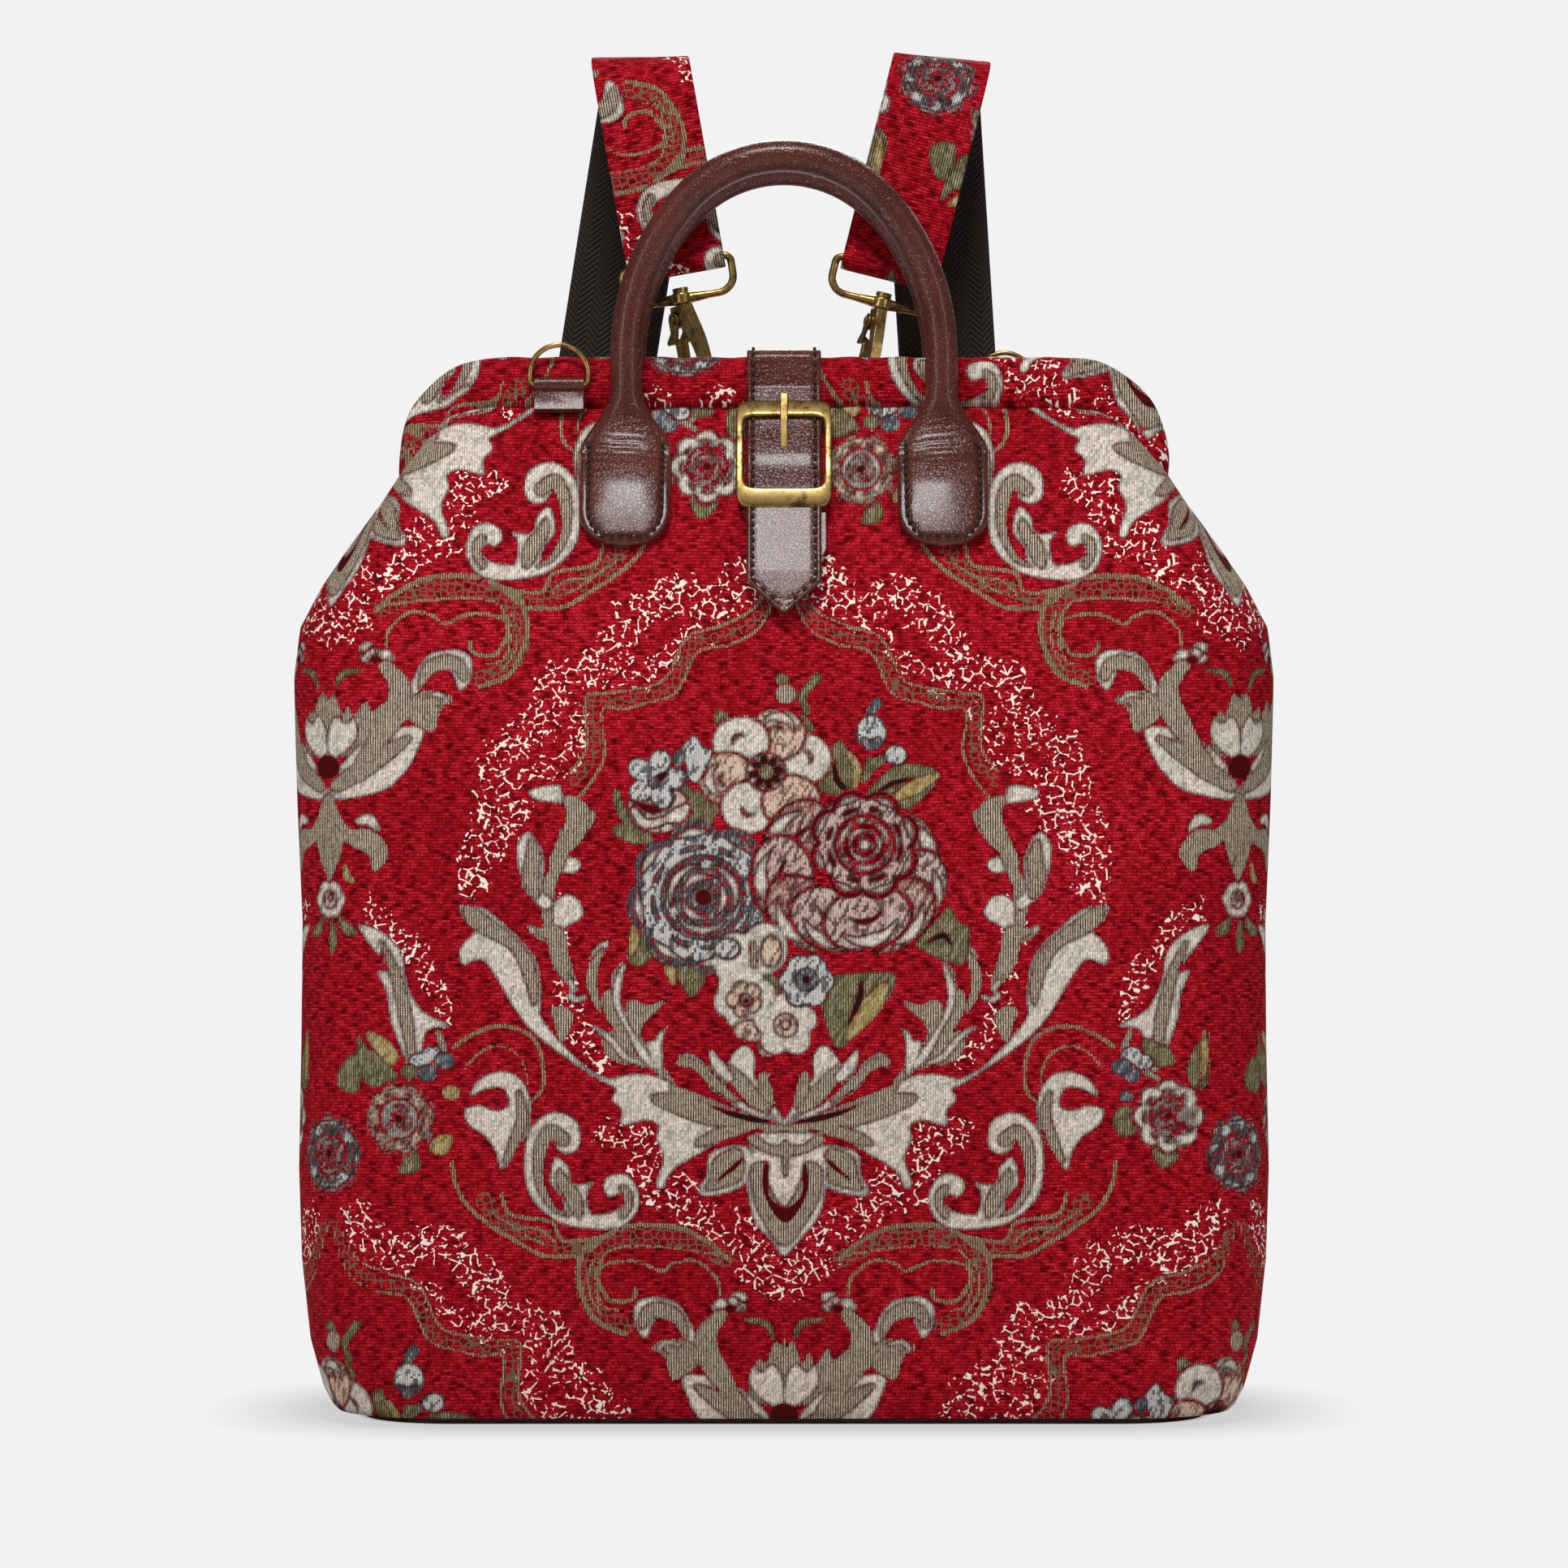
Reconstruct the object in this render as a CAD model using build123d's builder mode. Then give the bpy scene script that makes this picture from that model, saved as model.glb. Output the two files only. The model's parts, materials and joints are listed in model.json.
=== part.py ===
"""Laptop backpack: tapestry shell on a hinged steel frame, two rolled handles, a closure strap
with a centre bar buckle, and two webbing shoulder straps on trigger snaps.

Millimetres. The front faces -Y, Z is up, and the origin is the centre of the base.
"""

import math
import os

from build123d import *

# Overall shell
bag_height = 400.0
base_half_width = 163.0
base_half_depth = 60.0
foot_height = 5.0
foot_half_width = 169.0
foot_half_depth = 65.0
ankle_height = 16.0
ankle_half_width = 175.5
ankle_half_depth = 69.0
belly_low_height = 60.0
belly_low_half_width = 181.0
belly_half_depth = 72.5
belly_high_height = 230.0
belly_high_half_width = 183.5
shoulder_height = 293.0
shoulder_half_width = 184.0
shoulder_half_depth = 66.0
slope_height = 316.0
slope_half_width = 173.5
slope_half_depth = 55.0
mouth_half_width = 129.0
mouth_half_depth = 20.0
plan_corner = 40.0
mouth_corner = 14.0
wall = 5.0
wall_flare = 4.0
lid_overrun = 8.0

# Base, lining and laptop sleeve
base_thickness = 4.0
base_inset = 5.0
base_corner = 34.0
board_thickness = 2.0
board_inset = 3.0
lining_gap = 0.3
lining_thickness = 1.2
lining_drop = 12.0
sleeve_half_width = 150.0
sleeve_wall = 4.0
sleeve_space = 22.0
sleeve_floor_height = 28.0
sleeve_height = 245.0
sleeve_back_gap = 0.6

# Frame bars in their fabric casings
casing_height = 20.0
casing_half_width = 146.0
casing_corner = 38.0
casing_depth = 16.0
casing_split = 1.0
casing_foot_height = 352.0
bar_thickness = 2.0
bar_width = 11.0
bar_gap = 0.4
hinge_height = 343.0
ear_radius = 6.5
ear_thickness = 1.8
ear_gap = 0.1
rivet_radius = 2.4
rivet_clearance = 0.1
rivet_head_radius = 4.4
rivet_head_thickness = 1.0

# Rolled handles
handle_tube_radius = 6.0
handle_half_span = 59.5
handle_rise = 75.0
handle_crown_radius = 50.0
handle_tube_foot = 386.0
handle_clearance = 0.85
neck_mid_half_width = 11.5
neck_mid_half_depth = 4.2
tab_width = 34.0
tab_length = 42.0
tab_top_height = 366.0
tab_thickness = 3.4
tab_corner = 15.0
tab_gap = 0.3
tab_edge_round = 1.2

# Closure strap, its buckle and its magnetic snap
strap_width = 28.0
strap_thickness = 2.2
strap_lift = 4.1
strap_top_gap = 0.6
strap_bend = 2.4
strap_tip_height = 300.6
strap_point_height = 312.5
strap_fold_gap = 0.2
anchor_length = 16.0
under_strap_width = 28.5
under_strap_shift = 1.6
under_strap_thickness = 1.2
under_strap_length = 21.0
under_strap_gap = 0.5
layer_gap = 0.1
buckle_height = 358.8
buckle_outer_width = 35.0
buckle_outer_length = 47.0
buckle_side_bar = 3.1
buckle_end_bar = 7.0
buckle_end_bow = 2.6
buckle_plate = 2.4
buckle_bar_radius = 0.9
prong_width = 2.8
prong_eye_radius = 2.2
prong_eye_clearance = 0.15
prong_thickness = 1.7
prong_overhang = 2.0
prong_slot_clearance = 0.6
prong_slot_length = 10.0
prong_slot_rise = 2.0
snap_height = 332.0
snap_radius = 7.0
socket_thickness = 1.4
stud_boss_radius = 2.6
stud_boss_length = 1.0
stud_clearance = 0.5
snap_face_gap = 0.15

# D-rings and their folded leather tabs
wire_sides = 8
d_wire_radius = 1.1
d_inner_width = 19.8
d_bar_corner = 2.0
d_side_rise = 4.0
d_tab_width = 19.0
d_leather = 1.4
d_hole_clearance = 0.3
d_tab_gap = 0.2
ring_to_handle_gap = 8.5
seam_tab_height = 389.0
seam_tab_angle = 28.0
seam_tab_tail = 11.0
back_tab_x_left = 32.8
back_tab_x_right = 28.4
back_tab_height = 374.6
back_tab_tail = 8.5
back_ring_lean_left = 41.0
back_ring_lean_right = 47.0
low_tab_x = 104.0
low_tab_height = 50.0
low_tab_tail = 16.0
low_ring_lean = 45.0

# Trigger snaps, drawn with the swivel post up and the spine to the right
ring_wire_radius = 1.5
ring_inner_width = 39.6
ring_rise = 14.0
ring_corner = 6.5
ring_bar_corner = 2.0
collar_radius = 4.0
collar_height = 4.4
post_radius = 1.7
post_clearance = 0.2
post_head_radius = 3.0
post_head_height = 1.8
hook_thickness = 4.0
hook_arm_outer = 11.2
hook_arm_inner = 7.0
hook_centre_drop = 33.0
hook_head_drop = 8.6
hook_head_left = 6.5
hook_head_right = 3.6
hook_tip_drop = 29.5
hook_seat_gap = 1.8
lever_pivot_x = 4.2
lever_pivot_drop = 5.5
lever_boss_radius = 3.2
lever_cheek = 1.0
lever_gap = 0.2
lever_bridge_drop = 13.0
lever_tongue_width = 2.4
lever_tongue_drop = 31.5
lever_tab_reach = 3.6
pin_radius = 1.0
pin_clearance = 0.15
pin_head_radius = 1.8
pin_head_thickness = 0.6
snap_lean_left = 10.0
snap_lean_right = 14.0
snap_yaw_left = 57.0
snap_yaw_right = 75.0
snap_yaw_lower = 50.0

# Shoulder straps
webbing_width = 38.0
webbing_thickness = 1.8
facing_thickness = 1.2
facing_gap = 0.05
webbing_gap = 0.3
slider_gap = 0.2
slider_crest = 2.0
fold_top_height = 521.5
fold_half_depth = 14.5
knee_height = 400.0
knee_x_left = 70.0
knee_x_right = 64.5
facing_end_height = 240.0
slider_height = 190.0
slider_depth = 90.0
slider_length = 28.0
slider_width = 46.0
slider_window = 9.5
slider_window_width = 40.0
slider_bar = 3.0
slider_thickness = 2.0
sewn_end_length = 30.0
sewn_end_start = 13.0
strap_rest_depth = 80.0
strap_rest_height = 320.0
facing_step_in = 1.0

# Worked out from the sizes above
seam_height = bag_height - casing_height
casing_outer_depth = casing_split + casing_depth
slope_run = (slope_half_depth - mouth_half_depth) / (seam_height - slope_height)
slope_angle = math.degrees(math.atan(slope_run))
slope_out = math.cos(math.radians(slope_angle))
slope_up = math.sin(math.radians(slope_angle))
d_hole_radius = d_wire_radius + d_hole_clearance
d_fold_radius = d_hole_radius + d_leather
d_half_width = d_inner_width / 2 + d_wire_radius
d_height = d_side_rise + d_half_width
seam_tab_x = handle_half_span + handle_tube_radius + ring_to_handle_gap + d_half_width
hook_seat_drop = hook_centre_drop + hook_arm_inner - d_wire_radius - hook_seat_gap
lever_pivot = (-lever_pivot_x, -lever_pivot_drop)
FRONT, BACK = -1, 1
LEFT, RIGHT = -1, 1

os.makedirs("parts", exist_ok=True)


def write(name, shape):
    """Label one finished piece and save it."""
    shape.label = name
    export_step(shape, f"parts/{name}.step")


def rounded_section(height, half_width, half_depth, corner):
    """One horizontal section of the shell."""
    with BuildSketch(Plane.XY.offset(height)) as section:
        RectangleRounded(2 * half_width, 2 * half_depth, corner)
    return section.sketch


def shell_form(inset, floor, top):
    """The bag's outer form, or a smaller copy of it, from floor to top."""
    flare = wall_flare if inset else 0.0
    rise = top - seam_height
    corner = plan_corner - inset
    narrowing = (slope_half_width - mouth_half_width) / (seam_height - slope_height)
    rows = (
        (floor, base_half_width + flare, base_half_depth + flare),
        (foot_height + floor, foot_half_width + flare / 2, foot_half_depth + flare / 2),
        (ankle_height, ankle_half_width, ankle_half_depth),
        (belly_low_height, belly_low_half_width, belly_half_depth),
        (belly_high_height, belly_high_half_width, belly_half_depth),
        (shoulder_height, shoulder_half_width, shoulder_half_depth),
        (slope_height, slope_half_width, slope_half_depth),
    )
    sections = [rounded_section(height, width - inset, depth - inset, corner) for height, width, depth in rows]
    mouth = rounded_section(
        top,
        mouth_half_width - inset - narrowing * rise,
        mouth_half_depth - inset - slope_run * rise,
        mouth_corner - inset,
    )
    with BuildPart() as form:
        loft(sections + [mouth], ruled=True)
    return form.part


def frame_band(outer_inset, inner_inset, foot, near, far):
    """An upside down U between two insets from the casing's outline, from depth near to depth far."""
    with BuildPart() as band:
        with BuildSketch(Plane.XZ.offset(-near)):
            u_outline(outer_inset, foot)
            u_outline(inner_inset, foot, Mode.SUBTRACT)
        extrude(amount=-(far - near))
    return band.part


def u_outline(inset, foot, mode=Mode.ADD):
    """The area under the casing's outline, drawn in by an inset."""
    half = casing_half_width - inset
    corner = casing_corner - inset
    top = bag_height - inset
    turn = corner * (1 - math.sqrt(0.5))
    with BuildLine() as outline:
        Line((-half, foot), (-half, top - corner))
        ThreePointArc((-half, top - corner), (-half + turn, top - turn), (-half + corner, top))
        Line((-half + corner, top), (half - corner, top))
        ThreePointArc((half - corner, top), (half - turn, top - turn), (half, top - corner))
        Line((half, top - corner), (half, foot))
        Line((half, foot), (-half, foot))
    make_face(outline.edges(), mode=mode)


def slope_plane(face, x, height, lift=0.0):
    """A plane on the sloping upper part of the front or back, its Y up the slope."""
    depth = mouth_half_depth + (seam_height - height) * slope_run
    spot = (x, face * (depth + lift * slope_out), height + lift * slope_up)
    return Plane(origin=spot, x_dir=(-face, 0, 0), z_dir=(0, face * slope_out, slope_up))


def side_cut(part, half_depth):
    """Cut away what the two casings take up at the mouth."""
    with BuildPart() as cut:
        add(part)
        with BuildSketch(Plane.XZ.offset(-half_depth)):
            with Locations((0, (casing_foot_height + bag_height) / 2 + casing_height)):
                Rectangle(2 * shoulder_half_width, bag_height - casing_foot_height + 2 * casing_height)
            u_outline(casing_height, casing_foot_height - casing_height, Mode.SUBTRACT)
        extrude(amount=2 * half_depth, mode=Mode.SUBTRACT)
    return cut.part


def shell_pieces():
    """Front and back panels, base, stiffening board and lining."""
    outer = shell_form(0.0, 0.0, seam_height)
    cavity = shell_form(wall, base_thickness, seam_height + lid_overrun)
    with BuildPart() as shell:
        add(outer)
        add(cavity, mode=Mode.SUBTRACT)
        with BuildSketch(Plane.XY):
            RectangleRounded(2 * (base_half_width - base_inset), 2 * (base_half_depth - base_inset), base_corner)
        extrude(amount=base_thickness, mode=Mode.SUBTRACT)
    shell_solid = side_cut(shell.part, casing_outer_depth)
    for name, kept in (("front_panel", Keep.TOP), ("back_panel", Keep.BOTTOM)):
        with BuildPart() as panel:
            add(shell_solid)
            split(bisect_by=Plane.XZ, keep=kept)
        write(name, panel.part)

    with BuildPart() as base_panel:
        with BuildSketch():
            RectangleRounded(2 * (base_half_width - base_inset), 2 * (base_half_depth - base_inset), base_corner)
        extrude(amount=base_thickness)
    write("base_panel", base_panel.part)

    with BuildPart() as base_board:
        with BuildSketch(Plane.XY.offset(base_thickness)):
            RectangleRounded(
                2 * (base_half_width - base_inset - board_inset),
                2 * (base_half_depth - base_inset - board_inset),
                base_corner - board_inset,
            )
        extrude(amount=board_thickness)
    write("base_board", base_board.part)

    lining_floor = base_thickness + board_thickness + lining_gap
    lining_top = seam_height - lining_drop
    with BuildPart() as lining:
        add(shell_form(wall + lining_gap, lining_floor, seam_height + lid_overrun))
        add(
            shell_form(wall + lining_gap + lining_thickness, lining_floor + lining_thickness, seam_height + lid_overrun),
            mode=Mode.SUBTRACT,
        )
        with BuildSketch(Plane.XY.offset(lining_top)):
            Rectangle(4 * shoulder_half_width, 4 * belly_half_depth)
        extrude(amount=bag_height, mode=Mode.SUBTRACT)
    write("lining", side_cut(lining.part, casing_outer_depth + lining_gap))


def laptop_sleeve():
    """A padded pocket that hangs against the back lining, clear of the base."""
    back_depth = belly_half_depth
    front_depth = belly_half_depth - wall - lining_gap - lining_thickness - sleeve_space - sleeve_wall
    with BuildPart() as sleeve:
        with BuildSketch(Plane.XY.offset(sleeve_floor_height)):
            with Locations((0, (front_depth + back_depth) / 2)):
                Rectangle(2 * sleeve_half_width, back_depth - front_depth)
        extrude(amount=sleeve_height)
        add(
            shell_form(
                wall + lining_gap + lining_thickness + sleeve_back_gap, base_thickness, seam_height
            ),
            mode=Mode.INTERSECT,
        )
        with BuildSketch(Plane.XY.offset(sleeve_floor_height + sleeve_wall)):
            with Locations((0, (front_depth + sleeve_wall + 2 * back_depth) / 2)):
                Rectangle(2 * (sleeve_half_width - sleeve_wall), 2 * back_depth - front_depth - sleeve_wall)
        extrude(amount=sleeve_height, mode=Mode.SUBTRACT)
    write("laptop_sleeve", sleeve.part)


def frame_pieces():
    """Two steel bars in fabric casings, riveted together at the ends of the mouth."""
    outer_inset = (casing_height - bar_thickness) / 2
    inner_inset = outer_inset + ear_thickness + ear_gap
    middle = casing_split + casing_depth / 2
    for name, face, bar_inset in (("front", FRONT, outer_inset), ("rear", BACK, inner_inset)):
        near = face * middle - casing_depth / 2
        pocket_inset = bar_inset - bar_gap
        with BuildPart() as casing:
            add(frame_band(0.0, casing_height, casing_foot_height, near, near + casing_depth))
            add(
                frame_band(
                    pocket_inset,
                    bar_inset + bar_thickness + bar_gap,
                    casing_foot_height,
                    face * middle - bar_width / 2 - bar_gap,
                    face * middle + bar_width / 2 + bar_gap,
                ),
                mode=Mode.SUBTRACT,
            )
        write(f"{name}_casing", casing.part)

        bar_near = face * middle - bar_width / 2
        with BuildPart() as bar:
            add(frame_band(bar_inset, bar_inset + bar_thickness, hinge_height + ear_radius, bar_near, bar_near + bar_width))
            for side in (LEFT, RIGHT):
                ear_x = casing_half_width - bar_inset - bar_thickness
                with BuildSketch(Plane.YZ.offset(side * ear_x)):
                    with BuildLine():
                        Polyline(
                            (bar_near, hinge_height + ear_radius + 3.0),
                            (bar_near, hinge_height + ear_radius - 1.0),
                            (-ear_radius if face == BACK else 0.0, hinge_height),
                            (ear_radius if face == FRONT else 0.0, hinge_height),
                            (bar_near + bar_width, hinge_height + ear_radius - 1.0),
                            (bar_near + bar_width, hinge_height + ear_radius + 3.0),
                            close=True,
                        )
                    make_face()
                    with Locations((0, hinge_height)):
                        Circle(ear_radius)
                        Circle(rivet_radius + rivet_clearance, mode=Mode.SUBTRACT)
                extrude(amount=side * ear_thickness)
        write(f"{name}_frame_bar", bar.part)

    inner = casing_half_width - inner_inset - bar_thickness
    outer = inner + 2 * ear_thickness + ear_gap
    for name, side in (("left", LEFT), ("right", RIGHT)):
        with BuildPart() as rivet:
            with BuildSketch(Plane.YZ.offset(side * (inner - ear_gap))):
                with Locations((0, hinge_height)):
                    Circle(rivet_radius)
            extrude(amount=side * (outer - inner + 2 * ear_gap))
            for start, reach in ((inner - ear_gap, -rivet_head_thickness), (outer + ear_gap, rivet_head_thickness)):
                with BuildSketch(Plane.YZ.offset(side * start)):
                    with Locations((0, hinge_height)):
                        Circle(rivet_head_radius)
                extrude(amount=side * reach)
        write(f"hinge_rivet_{name}", rivet.part)


def handle(name, face):
    """One rolled leather handle: a tube that flattens into a stitched tab at each end."""
    depth = face * (casing_outer_depth + handle_clearance + handle_tube_radius)
    crown_height = handle_rise - handle_crown_radius
    haunch_radius = handle_half_span**2 + crown_height**2 - handle_crown_radius**2
    haunch_radius = haunch_radius / (2 * (handle_half_span - handle_crown_radius))
    share = haunch_radius / (haunch_radius - handle_crown_radius)
    haunch_x = handle_half_span - haunch_radius + share * (haunch_radius - handle_half_span)
    haunch_z = share * crown_height
    with BuildPart() as grip:
        with BuildLine(Plane(origin=(0, depth, bag_height), x_dir=(1, 0, 0), z_dir=(0, -1, 0))) as route:
            near_leg = Line((-handle_half_span, handle_tube_foot - bag_height), (-handle_half_span, 0))
            haunch = TangentArc(near_leg @ 1, (-haunch_x, haunch_z), tangent=near_leg % 1)
            crown = TangentArc(haunch @ 1, (haunch_x, haunch_z), tangent=haunch % 1)
            far_haunch = TangentArc(crown @ 1, (handle_half_span, 0), tangent=crown % 1)
            Line(far_haunch @ 1, (handle_half_span, handle_tube_foot - bag_height))
        with BuildSketch(Plane(origin=(-handle_half_span, depth, handle_tube_foot), z_dir=(0, 0, 1))):
            Circle(handle_tube_radius)
        sweep(path=route.wires()[0])
    with BuildPart() as whole:
        add(grip.part)
        for side in (LEFT, RIGHT):
            x = side * handle_half_span
            tab_plane = slope_plane(face, x, tab_top_height, tab_gap)
            collar = slope_plane(face, x, tab_top_height, tab_gap + tab_thickness / 2)
            neck_end = Plane(origin=collar.origin, x_dir=(1, 0, 0), z_dir=collar.y_dir)
            tube_end = Plane(origin=(x, depth, handle_tube_foot), x_dir=(1, 0, 0), z_dir=(0, 0, 1))
            half_way = (neck_end.origin + tube_end.origin) / 2
            neck_mid = Plane(origin=half_way, x_dir=(1, 0, 0), z_dir=neck_end.z_dir + tube_end.z_dir)
            with BuildSketch(neck_end):
                Ellipse(tab_width / 2 - tab_edge_round, tab_thickness / 2)
            with BuildSketch(neck_mid):
                Ellipse(neck_mid_half_width, neck_mid_half_depth)
            with BuildSketch(tube_end):
                Circle(handle_tube_radius)
            loft()
            with BuildSketch(tab_plane) as tab:
                with Locations((0, -tab_length / 2)):
                    Rectangle(tab_width, tab_length)
                fillet(tab.vertices().sort_by(Axis.Y)[:2], tab_corner)
            extrude(amount=tab_thickness)
    write(name, whole.part)


def strap_line(lift, top):
    """Side view of the closure strap's middle line: over the top, then down the front slope."""
    upper = slope_plane(FRONT, 0, seam_height, lift).origin
    lower = slope_plane(FRONT, 0, slope_height, lift).origin
    run = (lower.Z - strap_tip_height) * slope_run
    front = -(casing_outer_depth + strap_top_gap + strap_thickness / 2)
    return [
        (casing_outer_depth - strap_fold_gap, top),
        (front, top),
        (front - 1.0, (top + upper.Z) / 2 + 2.0),
        (upper.Y, upper.Z),
        (lower.Y - run, strap_tip_height),
    ]


def closure_pieces():
    """The closure strap, its sewn end, the lining strip under it and its magnetic snap."""
    top = bag_height + strap_top_gap + strap_thickness / 2
    lift = strap_lift + strap_thickness / 2
    bar_lift = strap_lift - layer_gap - buckle_bar_radius
    with BuildPart() as closure:
        with BuildSketch(Plane.YZ.offset(-strap_width / 2)):
            with BuildLine() as middle:
                FilletPolyline(*strap_line(lift, top), radius=strap_bend)
            trace(line_width=strap_thickness)
        extrude(amount=strap_width)
        with BuildSketch(Plane.XZ):
            for side in (LEFT, RIGHT):
                with BuildLine():
                    Polyline(
                        (side * (strap_width / 2 + 1), strap_point_height + 1),
                        (0, strap_tip_height),
                        (0, strap_tip_height - strap_thickness),
                        (side * (strap_width / 2 + 1), strap_tip_height - strap_thickness),
                        close=True,
                    )
                make_face()
        extrude(amount=2 * belly_half_depth, mode=Mode.SUBTRACT)
        with BuildSketch(slope_plane(FRONT, 0, buckle_height)):
            with Locations((0, prong_slot_rise)):
                Rectangle(prong_width + 2 * prong_slot_clearance, prong_slot_length)
        extrude(amount=2 * strap_lift, mode=Mode.SUBTRACT)
    write("closure_strap", closure.part)

    rear = casing_outer_depth + strap_top_gap + strap_thickness / 2
    slope_end = slope_plane(BACK, 0, seam_height - anchor_length, tab_gap + strap_thickness / 2).origin
    slope_start = slope_plane(BACK, 0, seam_height, tab_gap + strap_thickness / 2).origin
    with BuildPart() as anchor:
        with BuildSketch(Plane.YZ.offset(-strap_width / 2)):
            with BuildLine():
                FilletPolyline(
                    (rear, top + strap_thickness / 2),
                    (rear, slope_start.Z + 4.0),
                    (slope_start.Y + 0.6, slope_start.Z),
                    (slope_end.Y + 0.6, slope_end.Z),
                    radius=strap_bend,
                )
            trace(line_width=strap_thickness)
        extrude(amount=strap_width)
    write("closure_strap_anchor", anchor.part)

    strip_lift = strap_lift - layer_gap - under_strap_thickness
    with BuildPart() as strip:
        with BuildSketch(slope_plane(FRONT, 0, buckle_height, strip_lift)) as outline:
            with Locations((under_strap_shift, -(buckle_outer_length + under_strap_length) / 2 - under_strap_gap)):
                Rectangle(under_strap_width, under_strap_length)
            fillet(outline.vertices().sort_by(Axis.Y)[:2], 6.0)
        extrude(amount=under_strap_thickness)
    write("under_strap", strip.part)

    with BuildPart() as socket:
        with BuildSketch(slope_plane(FRONT, 0, snap_height, layer_gap)):
            Circle(snap_radius)
            Circle(stud_boss_radius + stud_clearance, mode=Mode.SUBTRACT)
        extrude(amount=socket_thickness)
    write("snap_socket", socket.part)

    stud_lift = layer_gap + socket_thickness + snap_face_gap
    with BuildPart() as stud:
        with BuildSketch(slope_plane(FRONT, 0, snap_height, stud_lift)):
            Circle(snap_radius)
        extrude(amount=strip_lift - stud_lift)
        with BuildSketch(slope_plane(FRONT, 0, snap_height, stud_lift)):
            Circle(stud_boss_radius)
        extrude(amount=-stud_boss_length)
    write("snap_stud", stud.part)
    buckle_pieces(bar_lift)


def buckle_pieces(bar_lift):
    """The centre bar buckle: the strap runs under both end bars and over the bar in the middle."""
    half_length = buckle_outer_length / 2
    half_width = buckle_outer_width / 2
    plate_lift = strap_lift + strap_thickness + layer_gap
    flat = half_length - buckle_end_bow
    with BuildPart() as frame:
        with BuildSketch(slope_plane(FRONT, 0, buckle_height, bar_lift - buckle_bar_radius)):
            Rectangle(buckle_outer_width, 2 * flat)
            with BuildLine():
                ThreePointArc((-half_width, flat), (0, half_length), (half_width, flat))
                Line((half_width, flat), (half_width, -flat))
                ThreePointArc((half_width, -flat), (0, -half_length), (-half_width, -flat))
                Line((-half_width, -flat), (-half_width, flat))
            make_face()
            Rectangle(buckle_outer_width - 2 * buckle_side_bar, 2 * (half_length - buckle_end_bar), mode=Mode.SUBTRACT)
        extrude(amount=plate_lift + buckle_plate - bar_lift + buckle_bar_radius)
        with BuildSketch(slope_plane(FRONT, 0, buckle_height, bar_lift - buckle_bar_radius)):
            Rectangle(buckle_outer_width - 2 * buckle_side_bar, buckle_outer_length + 1)
        extrude(amount=plate_lift - bar_lift + buckle_bar_radius, mode=Mode.SUBTRACT)
        with BuildSketch(Plane(origin=slope_plane(FRONT, 0, buckle_height, bar_lift).origin, z_dir=(1, 0, 0))):
            Circle(buckle_bar_radius)
        extrude(amount=half_width - buckle_side_bar / 2, both=True)
    write("buckle_frame", frame.part)

    centre = slope_plane(FRONT, 0, buckle_height, bar_lift)
    side_view = Plane(origin=centre.origin, x_dir=centre.y_dir, z_dir=(1, 0, 0))
    rest = plate_lift + buckle_plate + layer_gap - bar_lift
    reach = half_length + prong_overhang
    with BuildPart() as prong:
        with BuildSketch(side_view):
            Circle(prong_eye_radius)
            with BuildLine():
                Polyline(
                    (-0.4, prong_eye_radius - 0.6),
                    (2.4, rest + prong_thickness),
                    (reach - 1.2, rest + prong_thickness),
                    (reach, rest),
                    (3.6, rest),
                    (1.8, 0.4),
                    close=True,
                )
            make_face()
            Circle(buckle_bar_radius + prong_eye_clearance, mode=Mode.SUBTRACT)
        extrude(amount=prong_width / 2, both=True)
    write("buckle_prong", prong.part)


def d_ring_set(name, face, bar, tab_angle, tail, lean):
    """A wire D-ring and the leather tab folded round its straight bar."""
    out = Vector(0, face * math.cos(math.radians(tab_angle)), math.sin(math.radians(tab_angle)))
    with BuildPart() as tab:
        with BuildSketch(Plane(origin=bar, x_dir=out, z_dir=(-face, 0, 0))):
            Circle(d_fold_radius)
            with Locations((-d_fold_radius / 2, tail / 2)):
                Rectangle(d_fold_radius, tail)
            Circle(d_hole_radius, mode=Mode.SUBTRACT)
        extrude(amount=d_tab_width / 2, both=True)
    write(f"{name}_d_ring_tab", tab.part)

    rise = Vector(0, face * math.sin(math.radians(lean)), math.cos(math.radians(lean)))
    ring_plane = Plane(origin=bar, x_dir=(1, 0, 0), z_dir=Vector(1, 0, 0).cross(rise))
    half, corner = d_half_width, d_bar_corner
    turn = corner * (1 - math.sqrt(0.5))
    with BuildPart() as ring:
        with BuildLine(ring_plane) as wire:
            Line((-half + corner, 0), (half - corner, 0))
            ThreePointArc((half - corner, 0), (half - turn, turn), (half, corner))
            Line((half, corner), (half, d_side_rise))
            ThreePointArc((half, d_side_rise), (0, d_height), (-half, d_side_rise))
            Line((-half, d_side_rise), (-half, corner))
            ThreePointArc((-half, corner), (-half + turn, turn), (-half + corner, 0))
        start = wire.wires()[0]
        with BuildSketch(Plane(origin=start @ 0, z_dir=start % 0)):
            RegularPolygon(d_wire_radius, wire_sides)
        sweep(path=start)
    write(f"{name}_d_ring", ring.part)
    return bar + rise * d_height


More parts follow.
